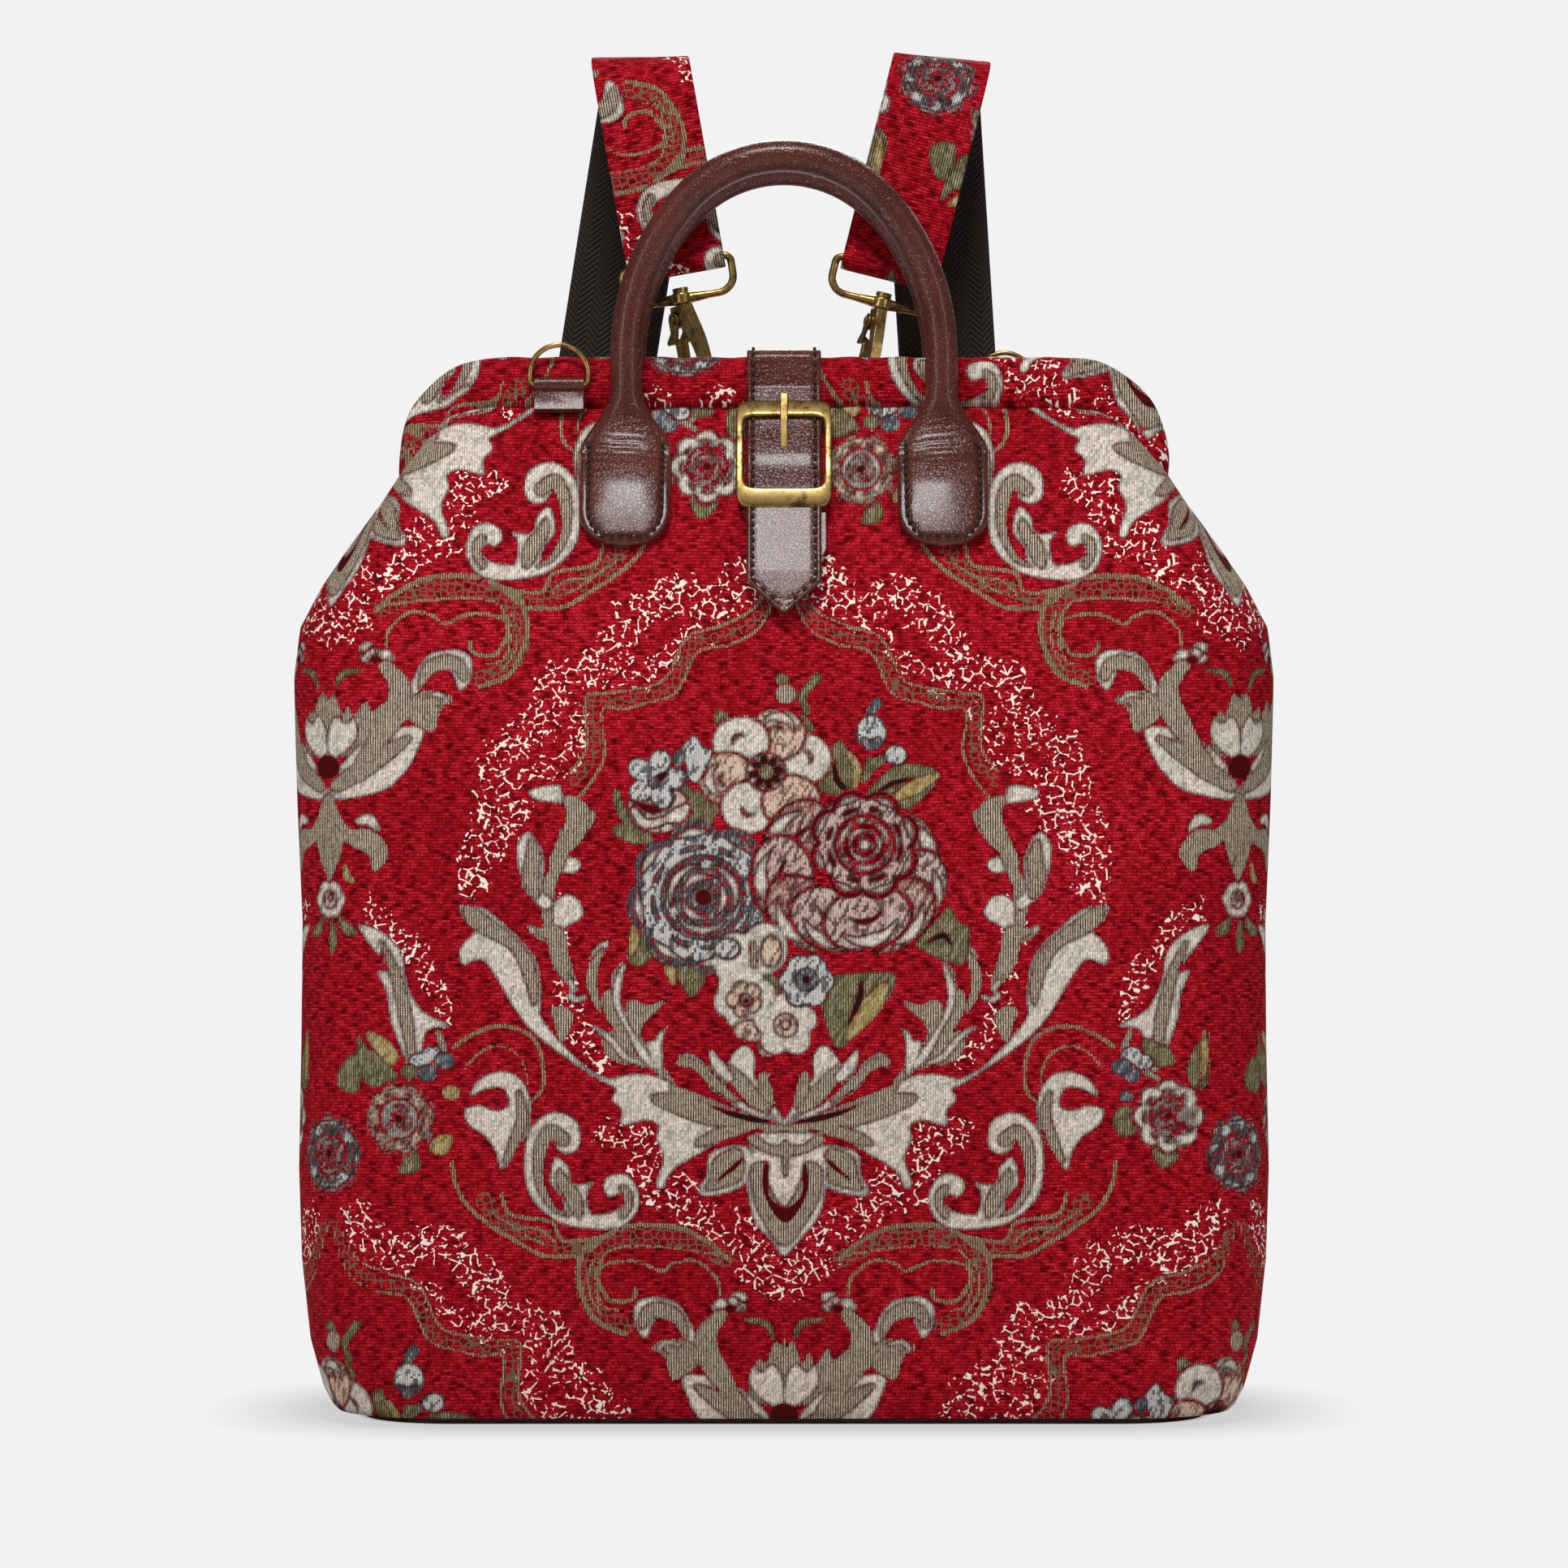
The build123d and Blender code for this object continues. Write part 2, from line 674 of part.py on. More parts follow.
def trigger_snap(name, ring_top, lean, spine):
    """Swivel ring, hook, gate lever and lever pin, hung from the top of a D-ring."""
    up = Vector(math.sin(math.radians(lean)), 0, math.cos(math.radians(lean)))
    base = ring_top + up * hook_seat_drop
    right = (spine - up * spine.dot(up)).normalized()
    hook_plane = Plane(origin=base, x_dir=right, z_dir=right.cross(up))
    across = Vector(up.Z, 0, -up.X)
    ring_plane = Plane(origin=base, x_dir=across, z_dir=across.cross(up))
    low, high = collar_height / 2, collar_height / 2 + ring_rise
    half = ring_inner_width / 2 + ring_wire_radius / 2
    with BuildPart() as swivel:
        with BuildLine(ring_plane):
            loop = FilletPolyline(
                (-half, low),
                (half, low),
                (half, high),
                (-half, high),
                radius=(ring_corner, ring_corner, ring_bar_corner, ring_bar_corner),
                close=True,
            )
        with BuildSketch(Plane(origin=loop @ 0, z_dir=loop % 0)):
            RegularPolygon(ring_wire_radius, wire_sides)
        sweep(path=loop)
        with BuildSketch(Plane(origin=base, z_dir=up)):
            Circle(collar_radius)
        extrude(amount=collar_height)
        with BuildSketch(Plane(origin=base, z_dir=up)):
            Circle(post_radius + post_clearance)
        extrude(amount=collar_height, mode=Mode.SUBTRACT)
    write(f"{name}_snap_ring", swivel.part)

    outer, inner, drop = hook_arm_outer, hook_arm_inner, hook_centre_drop
    with BuildPart() as hook:
        with BuildSketch(hook_plane):
            with BuildLine():
                Line((-hook_head_left, -lever_gap), (hook_head_right, -lever_gap))
                Spline(
                    (hook_head_right, -lever_gap),
                    (outer - 2.4, -drop / 2 + 4.0),
                    (outer, -drop + 4.0),
                    tangents=((0.35, -1), (0, -1)),
                )
                Line((outer, -drop + 4.0), (outer, -drop))
                ThreePointArc((outer, -drop), (0, -drop - outer), (-outer, -drop))
                Line((-outer, -drop), (-outer, -hook_tip_drop))
                ThreePointArc(
                    (-outer, -hook_tip_drop),
                    (-(outer + inner) / 2, -hook_tip_drop + (outer - inner) / 2),
                    (-inner, -hook_tip_drop),
                )
                Line((-inner, -hook_tip_drop), (-inner, -drop))
                ThreePointArc((-inner, -drop), (0, -drop - inner), (inner, -drop))
                Line((inner, -drop), (inner, -drop + 6.0))
                Spline((inner, -drop + 6.0), (inner - 2.6, -drop / 2), (0, -hook_head_drop), tangents=((0, 1), (-0.5, 1)))
                Line((0, -hook_head_drop), (-hook_head_left, -hook_head_drop))
                Line((-hook_head_left, -hook_head_drop), (-hook_head_left, -lever_gap))
            make_face()
            with Locations(lever_pivot):
                Circle(pin_radius + pin_clearance / 3, mode=Mode.SUBTRACT)
        extrude(amount=hook_thickness / 2, both=True)
        with BuildSketch(Plane(origin=base - up * 1.0, z_dir=up)):
            Circle(post_radius)
        extrude(amount=collar_height + 1.5)
        with BuildSketch(Plane(origin=base + up * (collar_height + lever_gap), z_dir=up)):
            Circle(post_head_radius)
        extrude(amount=post_head_height)
    write(f"{name}_snap_hook", hook.part)

    tongue_right = -inner + lever_gap + lever_tongue_width
    tongue_left = -inner + lever_gap
    with BuildPart() as lever:
        with BuildSketch(hook_plane):
            with Locations(lever_pivot):
                Circle(lever_boss_radius)
            with BuildLine():
                Polyline(
                    (-lever_pivot_x - lever_boss_radius, -lever_pivot_drop),
                    (-lever_pivot_x - lever_boss_radius, -lever_bridge_drop + 3.0),
                    (-lever_pivot_x - lever_boss_radius - lever_tab_reach, -lever_bridge_drop),
                    (-lever_pivot_x - lever_boss_radius - lever_tab_reach, -lever_bridge_drop - 1.4),
                    (tongue_left, -lever_bridge_drop - 1.4),
                    (tongue_right, -lever_bridge_drop - 1.4),
                    (-lever_pivot_x + lever_boss_radius, -lever_pivot_drop),
                    close=True,
                )
            make_face()
        extrude(amount=hook_thickness / 2 + lever_gap + lever_cheek, both=True)
        with BuildSketch(hook_plane):
            with BuildLine():
                Polyline(
                    (tongue_left - 0.4, -lever_bridge_drop),
                    (tongue_left, -lever_tongue_drop),
                    (tongue_right, -lever_tongue_drop),
                    (tongue_right + 0.4, -lever_bridge_drop),
                    close=True,
                )
            make_face()
        extrude(amount=hook_thickness / 2, both=True)
        with BuildSketch(hook_plane):
            with Locations((-lever_pivot_x, -lever_bridge_drop + 0.2 + lever_bridge_drop / 2 + 1.0)):
                Rectangle(8 * lever_boss_radius, lever_bridge_drop + 2.0)
        extrude(amount=hook_thickness / 2 + lever_gap, both=True, mode=Mode.SUBTRACT)
        with BuildSketch(hook_plane):
            with Locations(lever_pivot):
                Circle(pin_radius + pin_clearance)
        extrude(amount=hook_thickness, both=True, mode=Mode.SUBTRACT)
    write(f"{name}_snap_lever", lever.part)

    pin_reach = hook_thickness / 2 + 2 * lever_gap + lever_cheek
    with BuildPart() as pin:
        with BuildSketch(hook_plane):
            with Locations(lever_pivot):
                Circle(pin_radius)
        extrude(amount=pin_reach, both=True)
        for direction in (-1, 1):
            with BuildSketch(hook_plane.offset(direction * pin_reach)):
                with Locations(lever_pivot):
                    Circle(pin_head_radius)
            extrude(amount=direction * pin_head_thickness)
    write(f"{name}_snap_pin", pin.part)
    bar = base + up * high
    return bar


def turn_round(centre, radius, start, end, steps):
    """Points on an arc in the side view, both ends included."""
    angles = [math.radians(start + (end - start) * step / steps) for step in range(steps + 1)]
    return [(centre[0] + radius * math.cos(a), centre[1] + radius * math.sin(a)) for a in angles]


def strap_planes(stations, offset=0.0):
    """A section plane at each station, square to the run, its width level apart from the lean."""
    planes = []
    for index, (spot, lean) in enumerate(stations):
        before = stations[max(index - 1, 0)][0]
        after = stations[min(index + 1, len(stations) - 1)][0]
        into = (spot - before).normalized() if index else Vector(0, 0, 0)
        onward = (after - spot).normalized() if index < len(stations) - 1 else Vector(0, 0, 0)
        width = Vector(1, 0, -lean).normalized()
        run = into + onward
        run = (run - width * run.dot(width)).normalized()
        planes.append(Plane(origin=spot + run.cross(width) * offset, x_dir=width, z_dir=run))
    return planes


def flat_strap(name, planes, thickness):
    """A flat strap lofted through its section planes."""
    with BuildPart() as strap:
        for plane in planes:
            with BuildSketch(plane):
                Rectangle(webbing_width, thickness)
        loft(ruled=True)
    write(name, strap.part)


def leaning(points, foot, lean):
    """Side view points moved sideways along a lean from a foot point, each with that lean."""
    return [(Vector(foot.X + lean * (height - foot.Z), depth, height), lean) for depth, height in points]


def shoulder_strap(name, low_bar, high_bar, high_lean, knee_x):
    """One webbing strap with its tapestry facing and its tri-glide slider."""
    round_bar = ring_wire_radius + webbing_gap + webbing_thickness / 2
    round_slide = math.hypot(slider_bar, slider_thickness) / 2 + slider_gap + webbing_thickness / 2
    inner = slider_depth - round_slide
    outer = slider_depth + round_slide + webbing_thickness + webbing_gap
    half_lap = (webbing_thickness + layer_gap) / 2
    front = high_bar.Y - half_lap
    fold_height = fold_top_height - fold_half_depth - webbing_thickness / 2 - facing_thickness
    bend = slider_bar / 2 + slider_window - webbing_gap
    low_lean = (knee_x - low_bar.X) / (knee_height - low_bar.Z)
    front_lean = math.tan(math.radians(high_lean))
    fold_x = high_bar.X + front_lean * (fold_height - high_bar.Z)
    top_lean = (fold_x - knee_x) / (fold_height - knee_height)

    low_run = turn_round((slider_depth, slider_height), round_slide, 0, 180, 6)
    low_run += [(inner - webbing_thickness - webbing_gap, slider_height - bend + slider_bar)]
    low_run += turn_round((low_bar.Y, low_bar.Z), round_bar, 180, 360, 6)
    low_run += [
        (inner, slider_height - slider_length / 2),
        (inner, slider_height - bend),
        (outer, slider_height - slider_crest),
        (outer, slider_height + slider_crest),
        (inner, slider_height + bend),
        (inner, slider_height + slider_length / 2),
    ]
    stations = leaning(low_run, low_bar, low_lean)
    facing_start = len(stations)
    stations += leaning([(inner - facing_step_in, facing_end_height), (strap_rest_depth, strap_rest_height)], low_bar, low_lean)
    knee = Vector(knee_x, front + 2 * fold_half_depth + 1.0, knee_height)
    stations += [(knee, (low_lean + top_lean) / 2)]
    fold = turn_round((front + fold_half_depth, fold_height), fold_half_depth, 0, 180, 8)
    for step, (depth, height) in enumerate(fold):
        lean = top_lean + (front_lean - top_lean) * step / (len(fold) - 1)
        stations += [(Vector(fold_x + front_lean * (height - fold_height), depth, height), lean)]
    high_run = [(front, high_bar.Z + sewn_end_length), (front, high_bar.Z + sewn_end_start)]
    high_run += turn_round((high_bar.Y, high_bar.Z), round_bar, 180, 360, 6)
    stations += leaning(high_run, high_bar, front_lean)
    facing_stop = len(stations)
    tail = [(high_bar.Y + half_lap, high_bar.Z + sewn_end_start), (high_bar.Y + half_lap, high_bar.Z + sewn_end_length)]
    stations += leaning(tail, high_bar, front_lean)

    flat_strap(f"{name}_webbing", strap_planes(stations), webbing_thickness)
    lift = webbing_thickness / 2 + facing_gap + facing_thickness / 2
    faced = strap_planes(stations, lift)[facing_start:facing_stop]
    flat_strap(f"{name}_strap_facing", faced, facing_thickness)

    across = Vector(1, 0, -low_lean).normalized()
    centre = Vector(low_bar.X + low_lean * (slider_height - low_bar.Z), slider_depth, slider_height)
    with BuildPart() as slider:
        with BuildSketch(Plane(origin=centre, x_dir=across, z_dir=(0, -1, 0))):
            RectangleRounded(slider_width, slider_length, 3.0)
            with GridLocations(0, slider_window + slider_bar, 1, 2):
                Rectangle(slider_window_width, slider_window, mode=Mode.SUBTRACT)
        extrude(amount=slider_thickness / 2, both=True)
    write(f"{name}_slider", slider.part)


def hardware_and_straps():
    """All D-rings with their tabs, the four trigger snaps and the two shoulder straps."""
    seam_depth = casing_outer_depth + d_tab_gap + d_fold_radius
    d_ring_set("front_left", FRONT, Vector(-seam_tab_x, -seam_depth, seam_tab_height), seam_tab_angle, seam_tab_tail, 0)
    d_ring_set("rear_right", BACK, Vector(seam_tab_x, seam_depth, seam_tab_height), seam_tab_angle, seam_tab_tail, 0)

    sides = (
        ("left", LEFT, back_tab_x_left, back_ring_lean_left, snap_yaw_left, snap_lean_left, knee_x_left),
        ("right", RIGHT, back_tab_x_right, back_ring_lean_right, snap_yaw_right, snap_lean_right, knee_x_right),
    )
    for name, side, tab_x, ring_lean, yaw, snap_lean, knee_x in sides:
        bar = slope_plane(BACK, side * tab_x, back_tab_height, d_tab_gap + d_fold_radius).origin
        top = d_ring_set(f"upper_{name}", BACK, bar, slope_angle, back_tab_tail, ring_lean)
        spine = Vector(math.cos(math.radians(yaw)), -math.sin(math.radians(yaw)), 0)
        high_bar = trigger_snap(f"upper_{name}", top, side * snap_lean, spine)

        bar = Vector(side * low_tab_x, belly_half_depth + d_tab_gap + d_fold_radius, low_tab_height)
        top = d_ring_set(f"lower_{name}", BACK, bar, 0, low_tab_tail, low_ring_lean)
        turn = math.radians(snap_yaw_lower)
        spine = Vector(side * math.cos(turn), math.sin(turn), 0)
        low_lean = math.degrees(math.atan((low_tab_x - knee_x) / (knee_height - top.Z)))
        low_bar = trigger_snap(f"lower_{name}", top, -side * low_lean, spine)
        shoulder_strap(name, low_bar, high_bar, side * snap_lean, side * knee_x)


shell_pieces()
laptop_sleeve()
frame_pieces()
handle("front_handle", FRONT)
handle("rear_handle", BACK)
closure_pieces()
hardware_and_straps()
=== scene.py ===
"""Looks for the laptop backpack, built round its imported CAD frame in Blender."""

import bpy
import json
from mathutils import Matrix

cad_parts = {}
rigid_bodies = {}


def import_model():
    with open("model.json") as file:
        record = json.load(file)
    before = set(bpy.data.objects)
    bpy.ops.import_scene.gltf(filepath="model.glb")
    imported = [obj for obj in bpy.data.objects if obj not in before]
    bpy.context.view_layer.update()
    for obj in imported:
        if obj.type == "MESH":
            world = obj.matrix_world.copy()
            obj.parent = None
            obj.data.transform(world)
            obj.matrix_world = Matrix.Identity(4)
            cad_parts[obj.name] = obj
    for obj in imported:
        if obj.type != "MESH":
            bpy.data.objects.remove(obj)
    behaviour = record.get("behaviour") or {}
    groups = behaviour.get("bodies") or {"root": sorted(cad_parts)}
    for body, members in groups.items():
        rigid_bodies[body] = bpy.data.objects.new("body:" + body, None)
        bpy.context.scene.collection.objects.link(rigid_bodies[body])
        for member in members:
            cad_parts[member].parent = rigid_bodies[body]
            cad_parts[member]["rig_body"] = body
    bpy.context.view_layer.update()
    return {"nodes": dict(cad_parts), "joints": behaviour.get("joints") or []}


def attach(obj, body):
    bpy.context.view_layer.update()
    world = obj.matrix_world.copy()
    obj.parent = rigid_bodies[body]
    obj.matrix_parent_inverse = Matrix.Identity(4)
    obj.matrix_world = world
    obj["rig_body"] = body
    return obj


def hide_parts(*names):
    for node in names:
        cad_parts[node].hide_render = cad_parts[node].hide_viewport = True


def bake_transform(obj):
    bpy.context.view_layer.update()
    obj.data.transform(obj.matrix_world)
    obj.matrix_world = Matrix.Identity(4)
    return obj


bl_info = {
    "name": "Tapestry Laptop Backpack",
    "version": (1, 0, 0),
    "blender": (4, 5, 0),
    "location": "View3D > Sidebar > Backpack",
    "description": "Builds the cloth, leather, webbing and brass of a framed tapestry backpack",
    "category": "Add Mesh",
}

import json
import math

import bmesh
import bpy
import numpy as np
from mathutils import Matrix, Vector
from mathutils.kdtree import KDTree

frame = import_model()
NODES = frame["nodes"]

MM = 0.001
VIEW_DISTANCE = 2.2
VIEW_HEIGHT = 0.238
VIEW_WIDTH = 0.5982

# One repeat of the woven cloth in millimetres. The next row of motifs is set over by half a repeat.
REPEAT_WIDTH = 353.0
REPEAT_HEIGHT = 495.4
PICK = 0.8825
END = 0.88464
YARNS = ("cream", "taupe", "olive", "line", "blue", "slate", "pink", "rose", "peach", "gold", "dark", "wine")
NETS = ("lace", "net")
# Whether a shape is drawn as given, or with its mirror image
MIDDLE, PAIR = (1,), (1, -1)


def srgb(red, green, blue):
    """Linear colour from the 0 to 255 values of a colour swatch."""
    def linear(value):
        value /= 255
        return value / 12.92 if value <= 0.04045 else ((value + 0.055) / 1.055) ** 2.4
    return (linear(red), linear(green), linear(blue), 1.0)


# The woven pattern


def smooth_line(points, closed=False, steps=6):
    """A rounded line through the points, given as x, z, x, z and so on."""
    pts = np.reshape(points, (-1, 2))
    count = len(pts)
    out = []
    for i in range(count if closed else count - 1):
        near = [(i + k) % count if closed else min(max(i + k, 0), count - 1) for k in (-1, 0, 1, 2)]
        a, b, c, d = pts[near]
        square, cube = 2 * a - 5 * b + 4 * c - d, 3 * b - a - 3 * c + d
        for t in np.arange(steps) / steps:
            out.append(0.5 * (2 * b + (c - a) * t + square * t ** 2 + cube * t ** 3))
    if not closed:
        out.append(pts[-1])
    return np.array(out)


def gap_to_segments(x, z, line):
    """Distance from every grid point to each piece of a line, and how far along it the nearest spot is."""
    a, b = line[:-1], line[1:]
    run = b - a
    length = np.maximum((run ** 2).sum(1), 1e-9)
    px, pz = x[..., None] - a[:, 0], z[..., None] - a[:, 1]
    along = np.clip((px * run[:, 0] + pz * run[:, 1]) / length, 0, 1)
    gap = np.hypot(px - along * run[:, 0], pz - along * run[:, 1])
    return gap, along


class Loom:
    """One repeat of the cloth: for each yarn, how far inside its area every spot lies, in millimetres."""

    def __init__(self):
        self.cols = round(REPEAT_WIDTH / PICK)
        self.rows = round(REPEAT_HEIGHT / END)
        self.sides = MIDDLE
        self.fields = {yarn: np.full((self.rows, self.cols), -9.0, np.float32) for yarn in YARNS + NETS}

    def paint(self, yarn, low, high, inside):
        """Lay one shape over what is there, in both half rows. inside(x, z) is the depth inside the shape."""
        margin = 2.5
        i0, i1 = math.floor((low[0] - margin) / PICK), math.ceil((high[0] + margin) / PICK)
        j0, j1 = math.floor((low[1] - margin) / END), math.ceil((high[1] + margin) / END)
        x, z = np.meshgrid(np.arange(i0, i1 + 1) * PICK, np.arange(j0, j1 + 1) * END)
        depth = inside(x, z).astype(np.float32)
        for half in (0, 1):
            rows = (np.arange(j0, j1 + 1) + half * self.rows // 2) % self.rows
            cols = (np.arange(i0, i1 + 1) + half * self.cols // 2) % self.cols
            spot = np.ix_(rows, cols)
            for name, field in self.fields.items():
                if name == yarn:
                    field[spot] = np.maximum(field[spot], depth)
                else:
                    field[spot] = np.minimum(field[spot], -depth)

    def leaf(self, yarn, points, sharp=False):
        """A closed shape through the points."""
        for side in self.sides:
            outline = np.reshape(points, (-1, 2)) if sharp else smooth_line(points, closed=True, steps=4)
            outline = outline * (side, 1)
            loop = np.vstack([outline, outline[:1]])

            def inside(x, z):
                gap, along = gap_to_segments(x, z, loop)
                a, b = loop[:-1], loop[1:]
                crosses = (a[:, 1] > z[..., None]) != (b[:, 1] > z[..., None])
                rise = np.where(b[:, 1] == a[:, 1], 1e-9, b[:, 1] - a[:, 1])
                hit = x[..., None] < a[:, 0] + (z[..., None] - a[:, 1]) * (b[:, 0] - a[:, 0]) / rise
                within = (crosses & hit).sum(-1) % 2 == 1
                return np.where(within, gap.min(-1), -gap.min(-1))

            self.paint(yarn, loop.min(0), loop.max(0), inside)

    def stem(self, yarn, points, widths):
        """A line of changing width through the points."""
        for side in self.sides:
            line = smooth_line(points, steps=5) * (side, 1)
            spread = np.interp(np.linspace(0, 1, len(line)), np.linspace(0, 1, len(widths)), widths) / 2

            def inside(x, z):
                gap, along = gap_to_segments(x, z, line)
                return (spread[:-1] + (spread[1:] - spread[:-1]) * along - gap).max(-1)

            reach = spread.max()
            self.paint(yarn, line.min(0) - reach, line.max(0) + reach, inside)

    def dot(self, yarn, centre, across, up=None, turn=0.0):
        """An oval of the given width and height."""
        up = up or across
        for side in self.sides:
            cx, cz = centre[0] * side, centre[1]
            c, s = math.cos(math.radians(turn * side)), math.sin(math.radians(turn * side))

            def inside(x, z):
                u = ((x - cx) * c + (z - cz) * s) / (across / 2)
                v = ((z - cz) * c - (x - cx) * s) / (up / 2)
                return (1 - np.hypot(u, v)) * min(across, up) / 2

            reach = max(across, up) / 2
            self.paint(yarn, (cx - reach, cz - reach), (cx + reach, cz + reach), inside)

    def petals(self, yarn, centre, ring, count, across, up, start=0.0):
        """A ring of oval petals round a centre."""
        for k in range(count):
            angle = math.radians(start + 360 * k / count)
            spot = (centre[0] + ring * math.cos(angle), centre[1] + ring * math.sin(angle))
            self.dot(yarn, spot, up, across, turn=math.degrees(angle))

    def curl(self, yarn, centre, radius, start, sweep, width):
        """A curved stroke that swells in the middle."""
        turn = np.radians(start + np.linspace(0, sweep, 5))
        line = np.column_stack([centre[0] + radius * np.cos(turn), centre[1] + radius * np.sin(turn)])
        self.stem(yarn, line, (0.6, width, 0.6))

    def rose(self, centre, size, outer, inner, line, heart, start=0.0):
        """An open rose: a scalloped ring of petals with pale rims round a curled cup."""
        self.petals(line, centre, size * 0.34, 8, size * 0.36, size * 0.34, start)
        for k in range(8):
            angle = start + 45 * k
            turn = math.radians(angle)
            spot = (centre[0] + size * 0.31 * math.cos(turn), centre[1] + size * 0.31 * math.sin(turn))
            self.dot(outer, spot, size * 0.34, size * 0.32, turn=angle)
            self.curl("cream", centre, size * 0.43, angle - 15, 30, size * 0.06)
            self.curl(line, centre, size * 0.33, angle - 12 + 9 * (k % 2), 34, 1.8)
        self.dot(line, centre, size * 0.55)
        self.dot(inner, centre, size * 0.51)
        for ring in (0.215, 0.135):
            for k in range(3):
                angle = start + 120 * k + ring * 400
                self.curl("cream", centre, size * ring, angle, 100, size * 0.055)
                self.curl(line, centre, size * (ring - 0.045), angle + 50, 100, 1.9)
        self.dot(heart, centre, size * 0.1)

    def sample(self, across, up):
        """Every yarn's depth at the given cloth coordinates."""
        col, row = across / PICK, up / END
        c0, r0 = np.floor(col).astype(int), np.floor(row).astype(int)
        fc, fr = col - c0, row - r0
        out = {}
        for name, field in self.fields.items():
            def pick(dr, dc):
                return field[(r0 + dr) % self.rows, (c0 + dc) % self.cols]
            low = pick(0, 0) * (1 - fc) + pick(0, 1) * fc
            high = pick(1, 0) * (1 - fc) + pick(1, 1) * fc
            out[name] = low * (1 - fr) + high * fr
        return out


def weave_lace(loom):
    """The coral lace round the medallion, under the palmette and beside the acanthus."""
    loom.stem("lace", (
        -118, -37, -116, -22, -110, -6, -108, 11, -92, 24, -86, 40, -68, 46, -60, 62, -42, 73, -27, 68,
        -13, 82,
    ), (15, 15))
    loom.stem("lace", (-116, -14, -101, 2, -82, 10, -76, 30, -55, 42, -10, 76), (9, 9))
    loom.stem("lace", (-118.5, -38.5, -113.5, -26, -101, -10.5, -95, -3), (12, 12))
    loom.stem("lace", (-89, -44, -86, -63, -82, -85, -74, -100, -68, -106), (9, 9))
    loom.stem("lace", (-65, -134, -55, -134, -52, -153, -36, -159, -27, -172, -14, -182, 0, -190), (14, 14))
    loom.stem("lace", (-51.5, -137.5, -36, -154.5), (10, 10))
    loom.stem("lace", (-16, -165.5, 0, -188.5), (10, 10))
    loom.stem("lace", (-158.5, -47.5, -147.5, -57, -135.5, -72.5, -130.5, -88), (9, 9))


def weave_bands(loom):
    """The fine double lines and the netted C-scroll bands."""
    loom.stem("net", (
        -3, 80, -10, 65, -22, 58, -35, 54, -43, 38, -54, 35, -64, 32, -73, 32, -72, 13, -80, 1,
    ), (4, 4))
    for points in (
        (
            -154.5, 67, -140.5, 73.5, -133.5, 75.5, -125.5, 76, -115, 74.5, -108, 71.5, -102, 63, -100, 57,
            -102, 50.5, -105, 45.5, -110.5, 42.5, -116, 41,
        ),
        (-100.5, 70, -93, 71.5, -84.5, 75.5, -75.5, 78, -68.5, 81, -62.5, 89),
    ):
        loom.stem("net", points, (7, 7))
    for points in (
        (
            -0.5, 81, -8.5, 62, -20.5, 54.5, -33, 51.5, -41, 36, -51.5, 32, -61, 29.5, -69.5, 29,
            -68.5, 11, -76.5, -3, -82.5, -6, -86, -7.5,
        ),
        (
            -5.5, 78.5, -12, 67.5, -24, 61.5, -37, 57, -45, 41.5, -55, 37.5, -68, 35.5, -76, 33.5, -75, 15,
            -81.5, 5,
        ),
    ):
        loom.stem("line", points, (1.3, 1.3))
    for points, width in (
        ((-156, 66, -148, 73, -135, 79, -115, 79, -102, 70), 1.9),
        ((-154, 68, -142, 70, -122, 72, -110, 70, -106, 65), 1.2),
        ((-152, 52, -151, 59, -143, 66, -134, 65, -130, 62, -120, 66, -107, 64, -106, 56), 1.4),
        ((-106.5, 56.5, -110, 51, -116, 50.5, -119.5, 52, -120, 55.5), 1.7),
        ((-105, 74, -101, 72, -98, 60, -104, 44, -116, 38), 2.0),
        ((-104, 67, -102, 60, -103, 52, -107, 45.5), 1.2),
        ((-106.5, 66.5, -104.5, 60, -105.5, 52.5, -108.5, 48, -113.5, 47), 1.2),
        ((-110, 76, -100, 74, -92, 74, -89, 80, -84, 82, -72, 84, -69, 92), 1.6),
        ((-98, 68, -86, 68, -77, 72, -59, 84, -52, 94, -50, 104), 1.7),
        ((-89, 73, -83.5, 78, -75, 79, -71.5, 80.5), 1.2),
        ((-86, 72.5, -78.5, 75.5, -69, 82, -64, 85), 1.2),
        ((-126, -100, -116, -94, -106, -92, -96, -96, -92, -105, -92, -116, -98, -122), 1.6),
        ((-121.5, -108, -113.5, -100.5, -104.5, -100.5, -99, -106.5, -97.5, -114), 1.2),
    ):
        loom.stem("line", points, (width, width))


